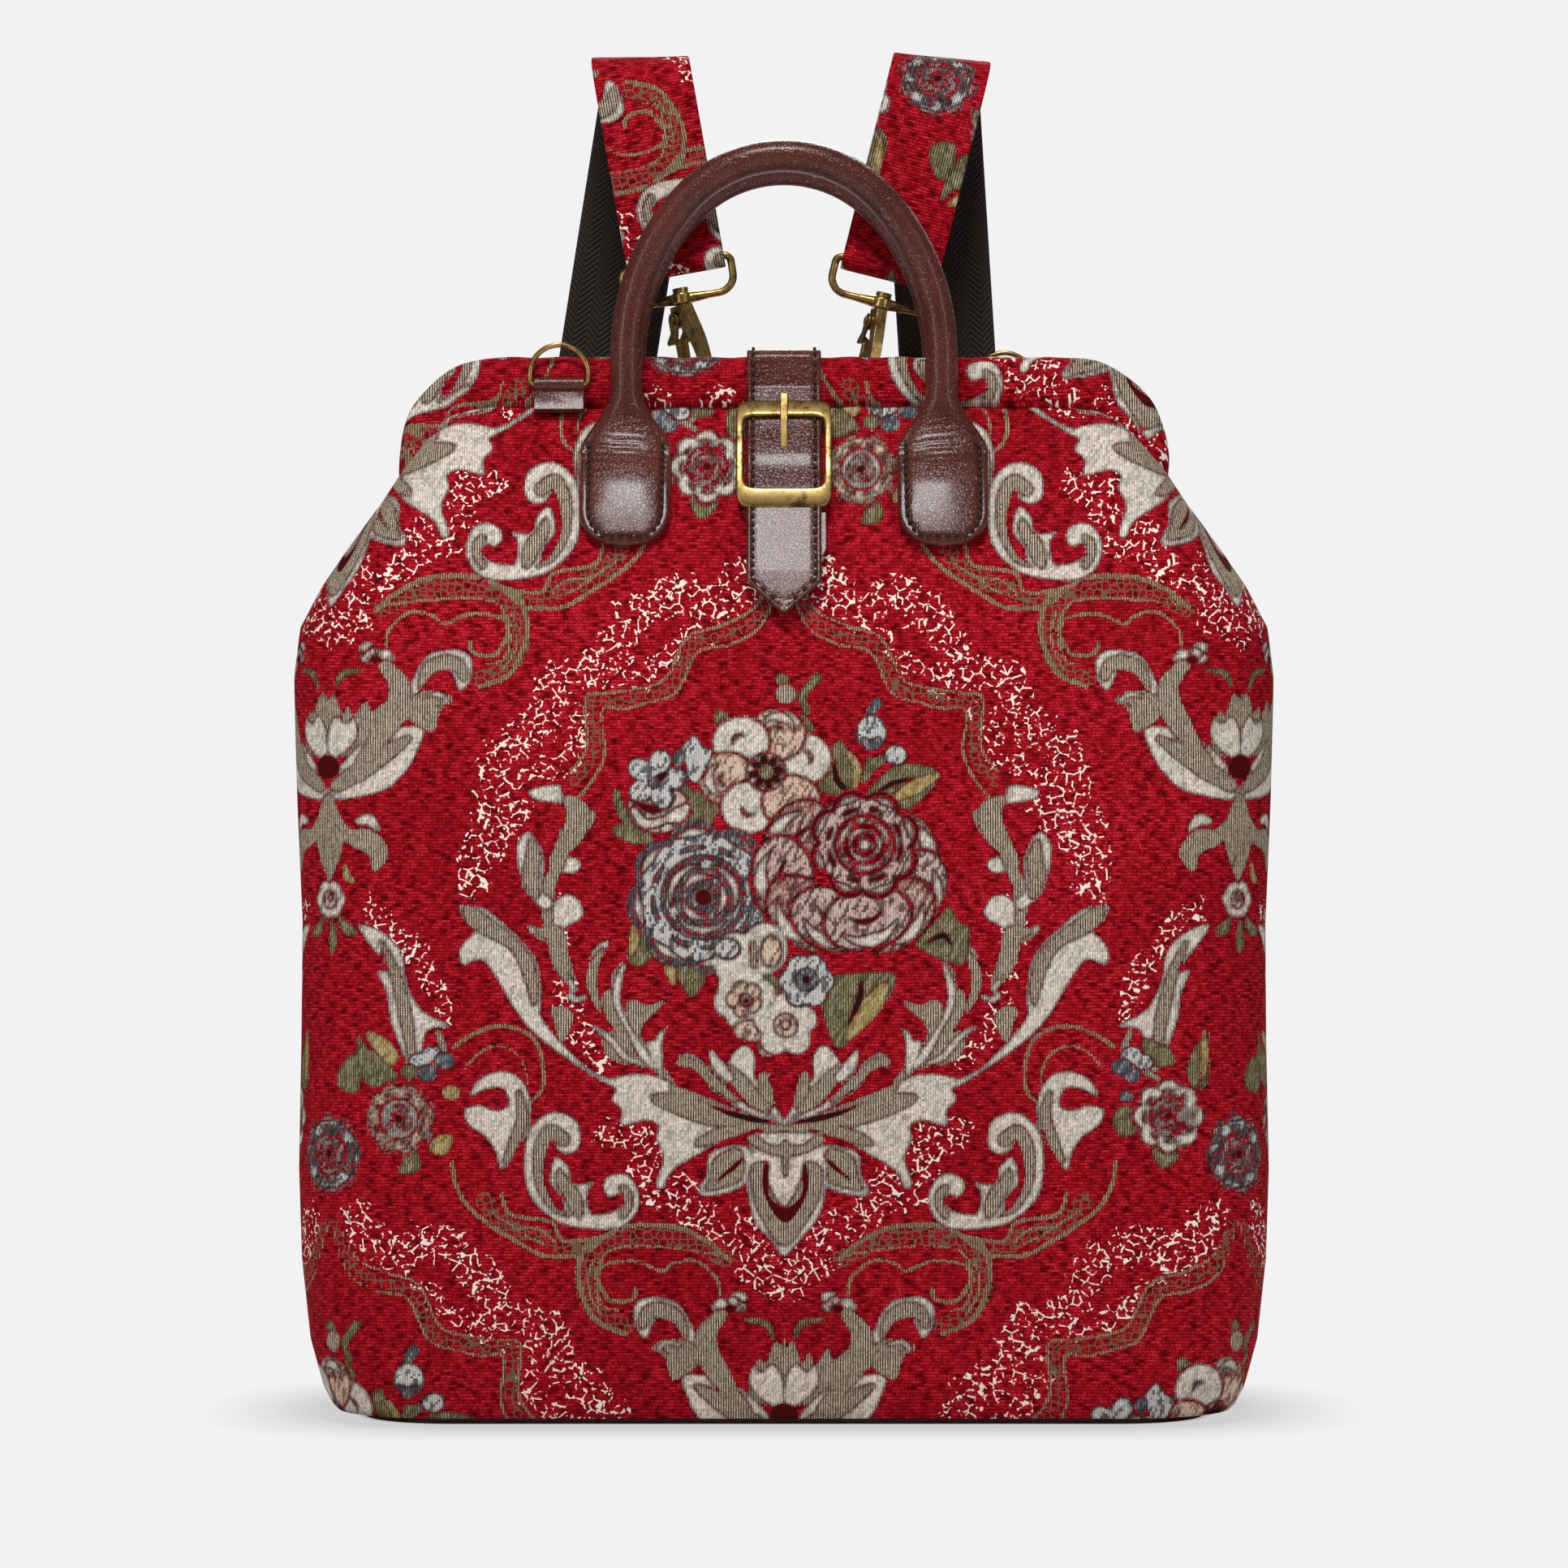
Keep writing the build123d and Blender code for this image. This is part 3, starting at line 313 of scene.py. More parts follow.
def weave_scrolls(loom):
    """The cream scrolls with their inner leaves, the hooked leaves and the twig with a blossom."""
    loom.stem("cream", (
        -94, 112, -93, 116, -89, 117.5, -85, 115.5, -82, 110.5, -81, 100, -82.5, 92, -87.5, 85.5,
        -94.5, 82, -105, 81, -113, 82, -117.5, 86, -118, 91.5, -115, 95.5, -111.5, 95, -110.5, 93,
    ), (10.5, 11.5, 11, 9.5, 8, 7, 6, 4.5, 5, 6, 7, 6.5, 7, 8, 8, 5))
    loom.stem("taupe", (
        -92.5, 112.5, -87.5, 115.5, -84, 109.5, -83, 100, -84.5, 93, -89, 86, -94.5, 83.5,
    ), (5, 5, 5, 3.5, 3, 2, 1))
    loom.stem("taupe", (-115, 83.5, -117, 87, -117, 91.5, -115, 94), (2.5, 3, 3.5, 2.5))
    loom.leaf("cream", (
        -89.5, 106, -87, 96.5, -91.5, 90.5, -93, 85, -97.5, 81, -104, 81, -102, 87, -102, 93, -105, 96.5,
        -98.5, 95.5, -95.5, 97, -94.5, 102,
    ))
    loom.leaf("taupe", (
        -91, 101.5, -89.5, 96.5, -93, 90.5, -95.5, 85, -99, 82.5, -100, 87, -98, 93, -94.5, 96.5,
    ))
    loom.leaf("cream", (
        -145, 32, -138, 48, -130, 52, -123, 52, -119, 48, -120, 40, -124, 36, -128, 44, -134, 43, -140, 34,
    ))
    loom.stem("taupe", (-139, 37.5, -135.5, 44.5, -129.5, 47, -124.5, 46, -122.5, 41.5), (2, 5, 6, 5, 3))
    loom.leaf("taupe", (
        -143, 31.5, -138.5, 35.5, -130.5, 36, -126, 32, -131, 28.5, -133.5, 20, -137.5, 21, -143.5, 25.5,
    ))
    loom.stem("cream", (-137, 33.5, -132, 34.5, -128.5, 32, -132, 30), (1.5, 2.5, 2, 1))
    loom.stem("taupe", (
        -162, 9, -157.5, 14, -151, 23.5, -147.5, 30.5, -147, 38, -150.5, 43, -154.5, 48,
    ), (4, 5, 9, 9, 8, 6, 4))
    for spot, across, yarn in (
        ((-159.3, 51.9), 6.5, "cream"),
        ((-159.7, 48.2), 5.5, "pink"),
        ((-156.8, 50.1), 6, "pink"),
        ((-152.4, 49.7), 5.5, "cream"),
        ((-149.8, 48.2), 3, "cream"),
        ((-156, 47.5), 4, "wine"),
    ):
        loom.dot(yarn, spot, across, across * 0.8)
    loom.leaf("cream", (
        -120, -119, -116, -112, -108, -109, -100, -112, -96, -122, -98, -133, -107, -147, -110, -140,
        -114, -134, -120, -130, -122, -124, -116, -122, -110, -124, -105, -122, -107, -116, -113, -116,
    ))
    loom.stem("taupe", (-101, -117.5, -99.5, -126.5, -102.5, -136, -106, -143.5), (2, 4, 4, 2))


def weave_side_flower(loom):
    """The fan of petals and big leaves between two medallions, with its stem and curls."""
    loom.leaf("taupe", (
        -190.5, 19, -186, 29, -183.5, 26, -180, 36, -177.5, 32, -176.5, 37.5, -175.5, 32, -173, 36,
        -169.5, 26, -167, 31, -164.5, 25.5, -159.5, 33.5, -157.5, 26.5, -152, 32, -154, 20.5, -163, 12.5,
        -176.5, 8, -190, 12.5,
    ), sharp=True)
    loom.leaf("taupe", (
        -162.5, 19, -154, 30.5, -144.5, 32, -138.5, 30.5, -145, 23.5, -151.5, 20.5, -155.5, 16,
    ))
    for side in (1, -1):
        axis = (-176.5, 0)[0]

        def turned(points):
            return (np.reshape(points, (-1, 2)) - (axis, 0)) * (side, 1) + (axis, 0)

        loom.leaf("cream", turned((
            -175, 1, -166, 12, -154, 20, -138, 22, -140, 12, -145, 4, -154, -3, -175, -6,
        )))
        loom.stem("taupe", turned((-172.5, -0.5, -161.5, 5.5, -151, 12.5, -143, 17.5)), (5, 7, 6, 2))
        loom.leaf("cream", turned((
            -176, 20.5, -172, 26.5, -168, 23, -165, 26, -163, 19, -168, 12.5, -176, 9.5,
        )))
        loom.stem("taupe", turned((
            -175, -7.5, -172, -15, -166.5, -20, -159.5, -21.5, -155, -26, -156.5, -32,
        )), (4, 5, 6, 9, 8, 3))
        loom.stem("cream", turned((-163, -14, -158.5, -13.5, -155, -17.5)), (3, 5, 2))
        loom.stem("taupe", turned((-174.5, -10.5, -172, -23, -175, -33.5)), (3, 4, 2))
        loom.stem("olive", turned((-172.5, 36, -169.5, 42, -161.5, 43.5)), (1.5, 3, 1.5))
    loom.dot("wine", (-176.5, 6.5), 11, 9)
    loom.stem("taupe", (-176.5, -6, -176.5, -35.5), (5, 3))
    loom.petals("cream", (-176.5, -44), 4.6, 6, 7, 6)
    loom.dot("peach", (-176.5, -44), 7)
    loom.dot("pink", (-175.9, -43.3), 3)
    for points in (
        (-180, -51, -183.5, -55.5, -186.5, -57),
        (-175.5, -52.5, -175, -60, -176, -64.5),
        (-172, -51, -168, -55.5, -164.5, -57),
    ):
        loom.stem("olive", points, (2, 5, 1.5))
    loom.stem("gold", (-169.5, -30.5, -168, -35.5, -165.5, -37), (2, 3.5, 2))


def weave_side_acanthus(loom):
    """The upright acanthus leaf below each side flower."""
    loom.leaf("cream", (
        -164, -54, -154, -56, -146, -64, -144, -75, -138, -86, -127, -92, -136, -94, -138, -104,
        -141, -112, -150, -92, -152, -80, -156, -71, -152, -70,
    ))
    loom.stem("taupe", (-154, -60, -148.5, -72.5, -144.5, -88, -142, -103.5), (1.5, 4, 5, 3))
    loom.stem("taupe", (-143, -112.5, -130.5, -103.5, -132, -94), (2, 4, 2))


def weave_arms(loom):
    """The tall acanthus arms that hold the bouquet."""
    loom.leaf("cream", (
        -124, -46, -118, -46, -110, -50, -95, -65, -92, -81, -92, -89, -79, -104, -71, -110, -63, -113,
        -64, -116, -79, -107, -98, -92, -112, -70, -117, -67, -122, -69, -124, -65, -122, -60, -118, -56,
        -122, -52,
    ))
    loom.leaf("taupe", (
        -122, -47, -118, -47, -99, -62, -94, -74, -94, -82, -96, -84, -98, -76, -104, -63, -117, -56,
        -121, -52,
    ))
    loom.leaf("cream", (
        -97, -2, -86, -0, -84, -4, -78, -5, -76, -9, -72, -10, -73, -16, -79, -24, -84, -27, -79, -28,
        -77, -31, -80, -34, -86, -34, -88, -40, -90, -38, -86, -18, -82, -14, -84, -8, -95, -6,
    ))
    loom.stem("taupe", (
        -82.5, -6, -78.5, -10.5, -80, -18, -84.5, -24.5, -86.5, -30, -88, -37.5,
    ), (4, 9, 9, 6, 6, 3))
    loom.stem("taupe", (
        -89, -35.5, -90, -44, -88.5, -53.5, -86.5, -61.5, -84, -69, -80.5, -76,
    ), (4, 6, 6, 7, 7, 4))
    loom.leaf("cream", (-97, -18, -91, -28, -92, -40, -88, -44, -90, -48, -96, -44, -100, -38, -102, -24))
    loom.stem("taupe", (-96.5, -22, -95.5, -28.5, -96.5, -35.5, -94.5, -42), (2, 6, 6, 3))
    loom.leaf("cream", (
        -88, -46, -84, -42, -79, -43, -76, -48, -78, -52, -82, -54, -84, -58, -81, -73, -78, -78, -82, -77,
        -88, -63, -95, -58, -98, -54, -91, -54, -88, -52,
    ))
    loom.stem("taupe", (-93.5, -56, -87, -57.5, -85.5, -65, -83, -73), (2, 7, 7, 3))
    loom.stem("cream", (-75.5, -81, -79, -82, -81.5, -80.5, -80, -78.5), (2, 2.5, 2.5, 1.5))
    loom.leaf(
        "cream",
        (-66, -60, -72, -62, -75, -70, -75, -78, -69, -88, -72, -74),
    )
    loom.stem("taupe", (-69, -63, -72.5, -69.5, -73, -77, -70.5, -85), (1.5, 4, 4, 2))
    loom.leaf("taupe", (
        -60, -67, -65, -71, -66, -77, -69, -80, -68, -88, -64, -94, -71, -92, -74, -92, -70, -96,
        -68, -102, -63, -106, -50, -109, -46, -114, -41, -114, -46, -106, -46, -98, -44, -92, -48, -94,
        -50, -98, -53, -98, -54, -92, -46, -84, -46, -82, -52, -84, -56, -82, -60, -83, -60, -86, -62, -84,
        -62, -77,
    ))
    loom.stem("cream", (
        -61, -69, -63.5, -77, -63, -85, -58.5, -94, -54.5, -101, -50, -107,
    ), (2, 3.5, 3, 2.5, 4, 3))
    loom.stem("cream", (-71, -93, -66, -97, -60.5, -103.5, -54.5, -106), (2, 3, 3, 2))
    loom.leaf("cream", (-44.5, -92.5, -48, -94.5, -49, -97, -52.5, -99, -46.5, -112, -46, -98))
    loom.stem("taupe", (-87, -86.5, -84, -89, -84.5, -96.5), (4, 8, 3))


def weave_palmette(loom):
    """The spread palmette under the bouquet."""
    loom.leaf("cream", (
        -66, -112, -52, -110, -34, -117, -12, -126, 0, -129, -12, -130, -36, -143, -43, -148, -46, -154,
        -49, -152, -46, -142, -49, -135, -48, -130, -53, -128, -62, -130, -62, -124, -66, -120, -64, -116,
    ))
    loom.leaf("taupe", (-50, -118, -38, -118, -28, -122, -5, -129, -23, -130, -34, -128, -48, -122))
    loom.leaf("taupe", (-43, -114, -32, -118, -12, -126, -34, -120, -41, -118))
    loom.leaf("taupe", (-21, -130, -6, -129, -28, -137, -34, -137, -30, -133))
    loom.stem("dark", (-27.5, -122.5, -19.5, -125.5, -10.5, -127.5, 0.5, -128.5), (0.8, 1.6, 2.2, 1.5))
    loom.leaf("cream", (
        -28, -140, -16, -137, -12, -141.5, -14, -150.5, -19.5, -155, -31, -157, -32.5, -153.5,
        -29.5, -148.5,
    ))
    loom.leaf("taupe", (-26, -142, -16.5, -139, -16.5, -150.5, -29.5, -154.5, -28, -149.5))
    loom.stem("wine", (-25, -150.5, -19.5, -146, -16, -142.5), (0.8, 1.6, 0.8))
    loom.sides = MIDDLE
    loom.leaf("cream", (
        -12, -140, -15, -145, -12, -165, -5, -174, 0, -180, 6, -174, 13, -165, 16, -154, 14, -140,
    ))
    loom.leaf("taupe", (-11, -144, -12, -154, -9, -164, 0, -176, 10, -164, 14, -154, 12, -144))
    loom.leaf("wine", (
        -7.5, -145, -7.5, -156, 0.5, -167, 8.5, -156, 8.5, -145, 7, -145, 7, -156, 0.5, -161.5, -6, -156,
        -5.5, -145,
    ))
    loom.leaf("cream", (
        -14, -134, -12, -140, -12, -144, -6, -144, -6, -152, 0, -161, 6, -152, 8, -144, 14, -144, 14, -140,
        15, -134, 8, -132, -6, -132,
    ))
    loom.stem("taupe", (-12, -135, -6.5, -138.5, 0.5, -139.5, 8, -138.5, 13.5, -135), (4, 3, 4, 3, 4))
    loom.stem("taupe", (0.5, -137, 0.5, -148.5), (3, 1.5))
    loom.leaf("taupe", (
        -6.5, -129, 0.5, -129.5, 8, -129, 11.5, -130.5, 8, -132.5, 0.5, -132, -6.5, -132.5, -10.5, -130.5,
    ), sharp=True)
    loom.sides = PAIR
    loom.leaf("cream", (
        -41, -104, -37, -102, -32, -104, -26, -110, -14, -122, 0, -128, -12, -126, -28, -116, -32, -110,
        -36, -108, -40, -108,
    ))
    loom.stem("taupe", (-39, -105.5, -33, -107, -26.5, -113.5, -18.5, -120), (3.5, 3.5, 4, 2))
    loom.leaf("cream", (
        -16, -99, -22, -108, -16, -118, -10, -122, -0, -128, -6, -117, -5, -110, -8, -110, -11, -112,
        -11, -103,
    ))
    loom.stem("taupe", (-21, -107.5, -17, -113, -12, -119, -6.5, -123.5), (2, 6, 6, 3))
    loom.stem("taupe", (-8, -110.5, -7, -116, -4.5, -121.5), (3, 5, 2))
    loom.stem("cream", (-27.5, -102, -25, -107, -21, -111.5), (2.5, 5, 4))
    loom.stem("cream", (-11, -124, -5, -127, 0.5, -128.5), (1.6, 1.8, 2.4))


def weave_bouquet(loom):
    """The bouquet: a pink rose, a blue rose, a peony and small flowers over olive leaves."""
    loom.leaf("olive", (30, -6, 40, 6, 50, 8, 60, 4, 51, -7, 44, -11, 38, -8))
    loom.stem("gold", (42.5, -5, 50.5, -0.5, 59, 4), (3, 6, 2))
    loom.stem("dark", (34.5, -3.5, 41.5, 0.5, 49.5, 2.5), (0.6, 2, 0.6))
    loom.leaf("olive", (13, -1.5, 15, 7.5, 20.5, 17.5, 24.5, 13.5, 30, 4.5, 27.5, -2, 21, -4.5))
    loom.stem("gold", (24.5, 12.5, 28, 6.5, 27, -0.5), (2, 3.5, 2.5))
    loom.stem("dark", (19, 9.5, 20, 2.5, 23, -1.5), (0.6, 2.4, 2))
    loom.leaf("olive", (-25.5, 29.5, -17, 23.5, -20, 18.5, -24.5, 15.5, -26.5, 22.5))
    loom.leaf("olive", (5, 26, 7, 27.5, 11.5, 22.5, 10.5, 18.5, 5.5, 19))
    loom.leaf("olive", (-58, -52.5, -54, -50, -52, -56.5, -46, -60.5, -54, -69, -60, -65.5))
    loom.stem("gold", (-56.5, -52.5, -57, -59.5, -58, -64.5), (3, 4, 2))
    loom.leaf("olive", (
        -45.5, -62, -39.5, -64.5, -35.5, -69.5, -28.5, -63.5, -30, -74.5, -35.5, -81, -40.5, -74, -42, -77,
    ))
    loom.stem("gold", (-44, -63.5, -43.5, -69.5, -42, -75.5), (3, 5, 2))
    loom.leaf("olive", (
        49.5, -60.5, 57.5, -52.5, 63, -46.5, 66.5, -52.5, 70.5, -54.5, 69.5, -65.5, 65, -68.5,
    ))
    loom.stem("dark", (53.5, -60.5, 60.5, -57.5, 64, -61.5), (0.6, 2.2, 0.6))
    loom.leaf("olive", (14, -84, 18, -74, 24, -72, 42, -72, 39, -83, 30, -91, 24, -99, 19, -99))
    loom.stem("gold", (38.5, -76.5, 33.5, -84, 24.5, -96), (3, 8, 3))
    loom.stem("dark", (29.5, -74.5, 28.5, -82, 24.5, -91), (0.8, 2.4, 0.6))
    loom.leaf("olive", (-11, -71.5, -5, -72, 0, -76.5, 1.5, -83.5, -5, -80))
    for points, widths in (
        ((9, 28.5, 7, 34.5, 12.5, 41.5), (3, 3, 4)),
        ((8.5, 31, 4, 36, -1, 41), (2, 2, 5)),
        ((-64, -3, -61.5, -11, -53, -21.5), (3, 4, 3)),
        ((-63.5, -17.5, -57, -19, -51, -21), (4, 8, 3)),
        ((-40.5, 0, -32.5, -7), (5, 5)),
        ((-27, 2.5, -32, -4.5, -32.5, -10, -31, -14), (4, 5, 5, 5)),
        ((-25, -6.5, -28.5, -10, -30, -15), (4, 7, 4)),
        ((33, 9, 31, 2.5), (4, 3)),
        ((39.5, 11, 34.5, 8, 32, 4.5), (3, 4, 3)),
        ((-35.5, -13, -38.5, -17), (3, 3)),
    ):
        loom.stem("olive", points, widths)
    loom.dot("taupe", (0.6, 35.2), 8)
    loom.stem("slate", (35.5, 32, 33, 27.5, 33.5, 23.5), (4, 4, 3))
    loom.dot("blue", (33.3, 20.2), 12, 14)
    loom.stem("slate", (30.5, 17.5, 33, 15, 36, 17.5), (2, 4, 2))
    loom.dot("blue", (42.7, 11.5), 9, 8)
    weave_peony(loom)
    weave_small_blossoms(loom)
    loom.rose((-30.7, -43), 58, "blue", "blue", "slate", "wine", 10)
    for angle in (-50, -20, 15, 50):
        loom.curl("slate", (-30.7, -43), 25, angle, 24, 3.5)
    weave_pink_rose(loom)
    loom.dot("cream", (-18.2, -67), 17, 22)
    loom.dot("blue", (-21.6, -62.5), 10, 8)
    loom.dot("cream", (-7.3, -62.5), 18, 20)
    loom.dot("peach", (-4.9, -63.5), 8, 12)
    loom.stem("taupe", (-12, -60.5, -11.5, -68.5, -13, -73.5), (2, 2.5, 2))
    loom.petals("cream", (-15, -81.3), 7.2, 6, 11, 10, 15)
    loom.petals("peach", (-15, -81.5), 4.5, 5, 6, 5, 40)
    loom.dot("pink", (-14.4, -82.1), 5)
    loom.dot("wine", (-14.4, -82.4), 2)
    loom.dot("peach", (-12.3, -93.6), 14, 8)
    loom.dot("peach", (-5.9, -99.5), 9, 9)
    loom.petals("cream", (0.6, -91.6), 7.0, 5, 11, 11, 90)
    loom.dot("peach", (0.6, -91.6), 9)
    loom.dot("pink", (0.6, -91.3), 4)
    loom.petals("blue", (8.5, -74.6), 6.2, 6, 9.5, 9)
    loom.dot("slate", (8.5, -74.2), 8.5)
    loom.dot("dark", (8.5, -74.2), 3)


def weave_peony(loom):
    """The open cream peony at the top of the bouquet."""
    centre = (-6.8, 5)
    for k, angle in enumerate((20, 75, 130, 190, 245, 310)):
        turn = math.radians(angle)
        spot = (centre[0] + 15 * math.cos(turn), centre[1] + 15 * math.sin(turn))
        loom.dot("taupe", spot, 23, 21)
        loom.dot(("cream", "peach")[k % 2], spot, 22, 20)
        loom.curl("cream", spot, 7, angle - 70, 140, 4)
        loom.curl("rose", spot, 3, angle - 60, 120, 1.6)
    loom.dot("pink", centre, 15)
    loom.petals("dark", centre, 4.5, 8, 2.4, 4.5, 10)
    loom.dot("olive", centre, 6)


def weave_small_blossoms(loom):
    """The blue and white blossoms and the half open bud at the bouquet's left."""
    loom.leaf("blue", (-34.5, 19.5, -30.5, 14.5, -27, 13, -32.5, 1, -36.5, 2.5, -37.5, 8, -40, 12.5))
    loom.stem("slate", (-42, 9.5, -40, 11.5, -40.5, 5.5), (2, 4, 2))
    loom.dot("pink", (-47.8, -9.2), 24, 19)
    loom.stem("wine", (-56.5, -7, -49.5, -9.5, -43, -6.5), (1, 3, 1))
    loom.stem("cream", (-57, -10, -53, -15, -46.5, -14), (3, 4, 3))
    loom.stem("cream", (-44.5, -13, -40, -11.5, -37, -8.5), (3, 6, 3))
    loom.petals("blue", (-49.1, 2.1), 7.0, 5, 8.5, 10, 75)
    loom.dot("blue", (-49.1, 2.1), 9)
    loom.stem("dark", (-49, 0.5, -47, 3, -44.5, 4.5), (2, 2.5, 1))
    loom.dot("slate", (-49.3, 0.7), 4)


def weave_pink_rose(loom):
    """The big pink rose with folded front petals."""
    x, z = (26.3, -32.8)
    petals = ((100, 17), (150, 25), (20, 22), (188, 27), (-22, 25), (225, 26), (310, 25), (250, 22), (285, 21))
    for k, (angle, out) in enumerate(petals):
        turn = math.radians(angle)
        c, s = math.cos(turn), math.sin(turn)
        spot = (x + out * c, z + out * 0.9 * s)
        loom.dot("dark", spot, 35, 25, turn=angle + 90)
        loom.dot("rose" if k in (1, 2, 5, 6) else "pink", spot, 33.5, 23.5, turn=angle + 90)
        loom.curl("cream", (spot[0] - 6 * c, spot[1] - 6 * s), 14.5, angle - 50, 100, 5.5)
        loom.curl("wine", (spot[0] - 8 * c, spot[1] - 8 * s), 9, angle - 50, 90, 1.8)
    x, z = (30.7, -22.9)
    loom.rose((x, z), 42, "pink", "rose", "wine", "cream", 20)


def weave_cluster(loom):
    """The cluster of three roses between two bouquets, which the buckle half hides."""
    for points, yarn in (
        ((12, 153.5, 16.5, 147.5, 22.5, 144.5, 29, 135, 19.5, 132, 14, 138), "olive"),
        ((15, 153.5, 24, 151, 29.5, 144.5, 25.5, 140.5), "gold"),
        ((12, 144.5, 5.5, 140.5, 4, 132, 13.5, 130.5), "olive"),
        ((44.5, 114, 50.5, 113.5, 47.5, 106.5, 41, 108.5), "gold"),
        ((-13, 153.5, -19, 147.5, -22.5, 138, -19, 130.5, -13, 135), "olive"),
        ((-16, 155, -13, 144.5, -17, 132), "gold"),
        ((-25.5, 116.5, -36, 110, -32.5, 101, -25.5, 105.5), "olive"),
        ((-45.5, 125.5, -51.5, 121, -48, 113.5, -41, 116.5), "olive"),
        ((35, 110, 38, 101, 29, 99.5), "olive"),
        ((-40, 150.5, -30, 147.5, -27, 141, -36, 140.5), "olive"),
    ):
        loom.leaf(yarn, points)
    for spot, across, yarn in (
        ((37.5, 141.8), 9, "blue"), ((42.4, 144.9), 8, "blue"),
        ((47.4, 142.4), 8, "slate"), ((40.6, 137.5), 8, "slate"),
        ((33.4, 138.1), 7, "olive"), ((35, 131.9), 6, "slate"),
        ((-44, 144.3), 9, "blue"), ((-48, 139.9), 8, "slate"),
        ((-39.3, 141.8), 8, "blue"), ((-43.7, 136.8), 7, "slate"),
        ((-46.1, 128.8), 6, "slate"), ((49.8, 130.3), 7, "gold"),
    ):
        loom.dot(yarn, spot, across, across * 0.8)
    loom.rose((-29.4, 121.1), 29, "cream", "pink", "rose", "wine")
    loom.rose((29.4, 120.1), 29, "peach", "cream", "rose", "dark", 15)
    loom.rose((0, 106.5), 32, "blue", "blue", "slate", "dark", 5)


def weave_cloth():
    """The whole repeat, from the ground up."""
    loom = Loom()
    for draw, sides in (
        (weave_lace, PAIR),
        (weave_bands, PAIR),
        (weave_side_flower, MIDDLE),
        (weave_side_acanthus, PAIR),
        (weave_scrolls, PAIR),
        (weave_arms, PAIR),
        (weave_palmette, PAIR),
        (weave_cluster, MIDDLE),
        (weave_bouquet, MIDDLE),
    ):
        loom.sides = sides
        draw(loom)
    return loom




# Shapes of the bag, in millimetres

BAG_HEIGHT = 400.0
SEAM_HEIGHT = 380.0
CASING_DEPTH = 16.0
CASING_FRONT = 17.0
FRONT, BACK = -1, 1

ROW_HEIGHTS = (0, 5, 11, 30, 60, 94, 140, 186, 232, 278, 297, 312, 328, 345, 380)
ROW_WIDTHS = (166, 170, 173, 178, 181, 182, 181, 180.5, 182.5, 184, 182, 174.5, 164, 152, 130)
DEPTH_HEIGHTS = (0, 5, 16, 60, 230, 272, 293, 316, 338, 380)
DEPTHS = (61, 65, 69, 72.5, 72.5, 70, 66, 55, 43, 20)
FACE_SHARE = 0.72
CORNER_SHARE = 0.9


def corner_radius(z):
    return np.interp(z, (0, 300, SEAM_HEIGHT), (40, 36, 14))


def body_outline(u, z, inset=0.0):
    """x, y and arc length from the middle of the front half, u from -1 at one side seam to 1 at the other."""
    w = np.interp(z, ROW_HEIGHTS, ROW_WIDTHS) - inset
    d = np.interp(z, DEPTH_HEIGHTS, DEPTHS) - inset
    c = corner_radius(z) - inset
    t = np.abs(u)
    turn = np.clip((t - FACE_SHARE) / (CORNER_SHARE - FACE_SHARE), 0, 1) * math.pi / 2
    side = np.clip((t - CORNER_SHARE) / (1 - CORNER_SHARE), 0, 1)
    x = (w - c) * np.minimum(t / FACE_SHARE, 1) + c * np.sin(turn)
    y = -(d - c) * (1 - side) - c * np.cos(turn)
    arc = (w - c) * np.minimum(t / FACE_SHARE, 1) + c * turn + (d - c) * side
    return x * np.sign(u), y, arc * np.sign(u)


def slope_depth(z):
    """How far the sloping upper face stands out from the middle."""
    return np.interp(z, DEPTH_HEIGHTS, DEPTHS)


def ripple(x, y, z, seed):
    """Smooth uneven folds, about -1 to 1."""
    rng = np.random.default_rng(seed)
    total = np.zeros_like(x)
    for _ in range(9):
        direction = rng.normal(size=3)
        direction = direction / np.linalg.norm(direction) / rng.uniform(14, 30)
        total = total + np.sin(x * direction[0] + y * direction[1] + z * direction[2] + rng.uniform(0, 6.28))
    return total / 3


# Mesh helpers


def row_at(where, walk, rows):
    """The row of three numbers at a place between the rows' own places."""
    return np.array([np.interp(where, walk, rows[:, k]) for k in range(3)])


def finish_mesh(name, mesh, material, sharp=None):
    """Store a bmesh as a smooth object with its material."""
    bmesh.ops.recalc_face_normals(mesh, faces=mesh.faces)
    data = bpy.data.meshes.new(name)
    mesh.to_mesh(data)
    mesh.free()
    data.polygons.foreach_set("use_smooth", [True] * len(data.polygons))
    if sharp is not None:
        data.set_sharp_from_angle(angle=math.radians(sharp))
    obj = bpy.data.objects.new(name, data)
    bpy.context.scene.collection.objects.link(obj)
    data.materials.append(material)
    return obj


def mapped_grid(name, material, across, along, place, closed=False, filled=False, weave=None):
    """A grid bent into shape. place(u, v) gives the position in millimetres and the cloth coordinates."""
    mesh = bmesh.new()
    bmesh.ops.create_grid(mesh, x_segments=across, y_segments=along, size=0.5)
    spots = np.array([v.co for v in mesh.verts])
    u, v = np.clip(spots[:, 0] + 0.5, 0, 1), np.clip(spots[:, 1] + 0.5, 0, 1)
    position, cloth = place(u, v)
    keep = mesh.verts.layers.float_vector.new("cloth")
    for vert, spot, thread in zip(mesh.verts, position * MM, cloth):
        vert.co = spot
        vert[keep] = thread
    if closed:
        rim = [v for v in mesh.verts if v.is_boundary]
        bmesh.ops.remove_doubles(mesh, verts=rim, dist=0.000005)
    if filled:
        edges = [e for e in mesh.edges if e.is_boundary]
        if edges:
            bmesh.ops.holes_fill(mesh, edges=edges, sides=0)
    obj = finish_mesh(name, mesh, material)
    if weave is not None:
        weave_attributes(obj, weave)
    return obj


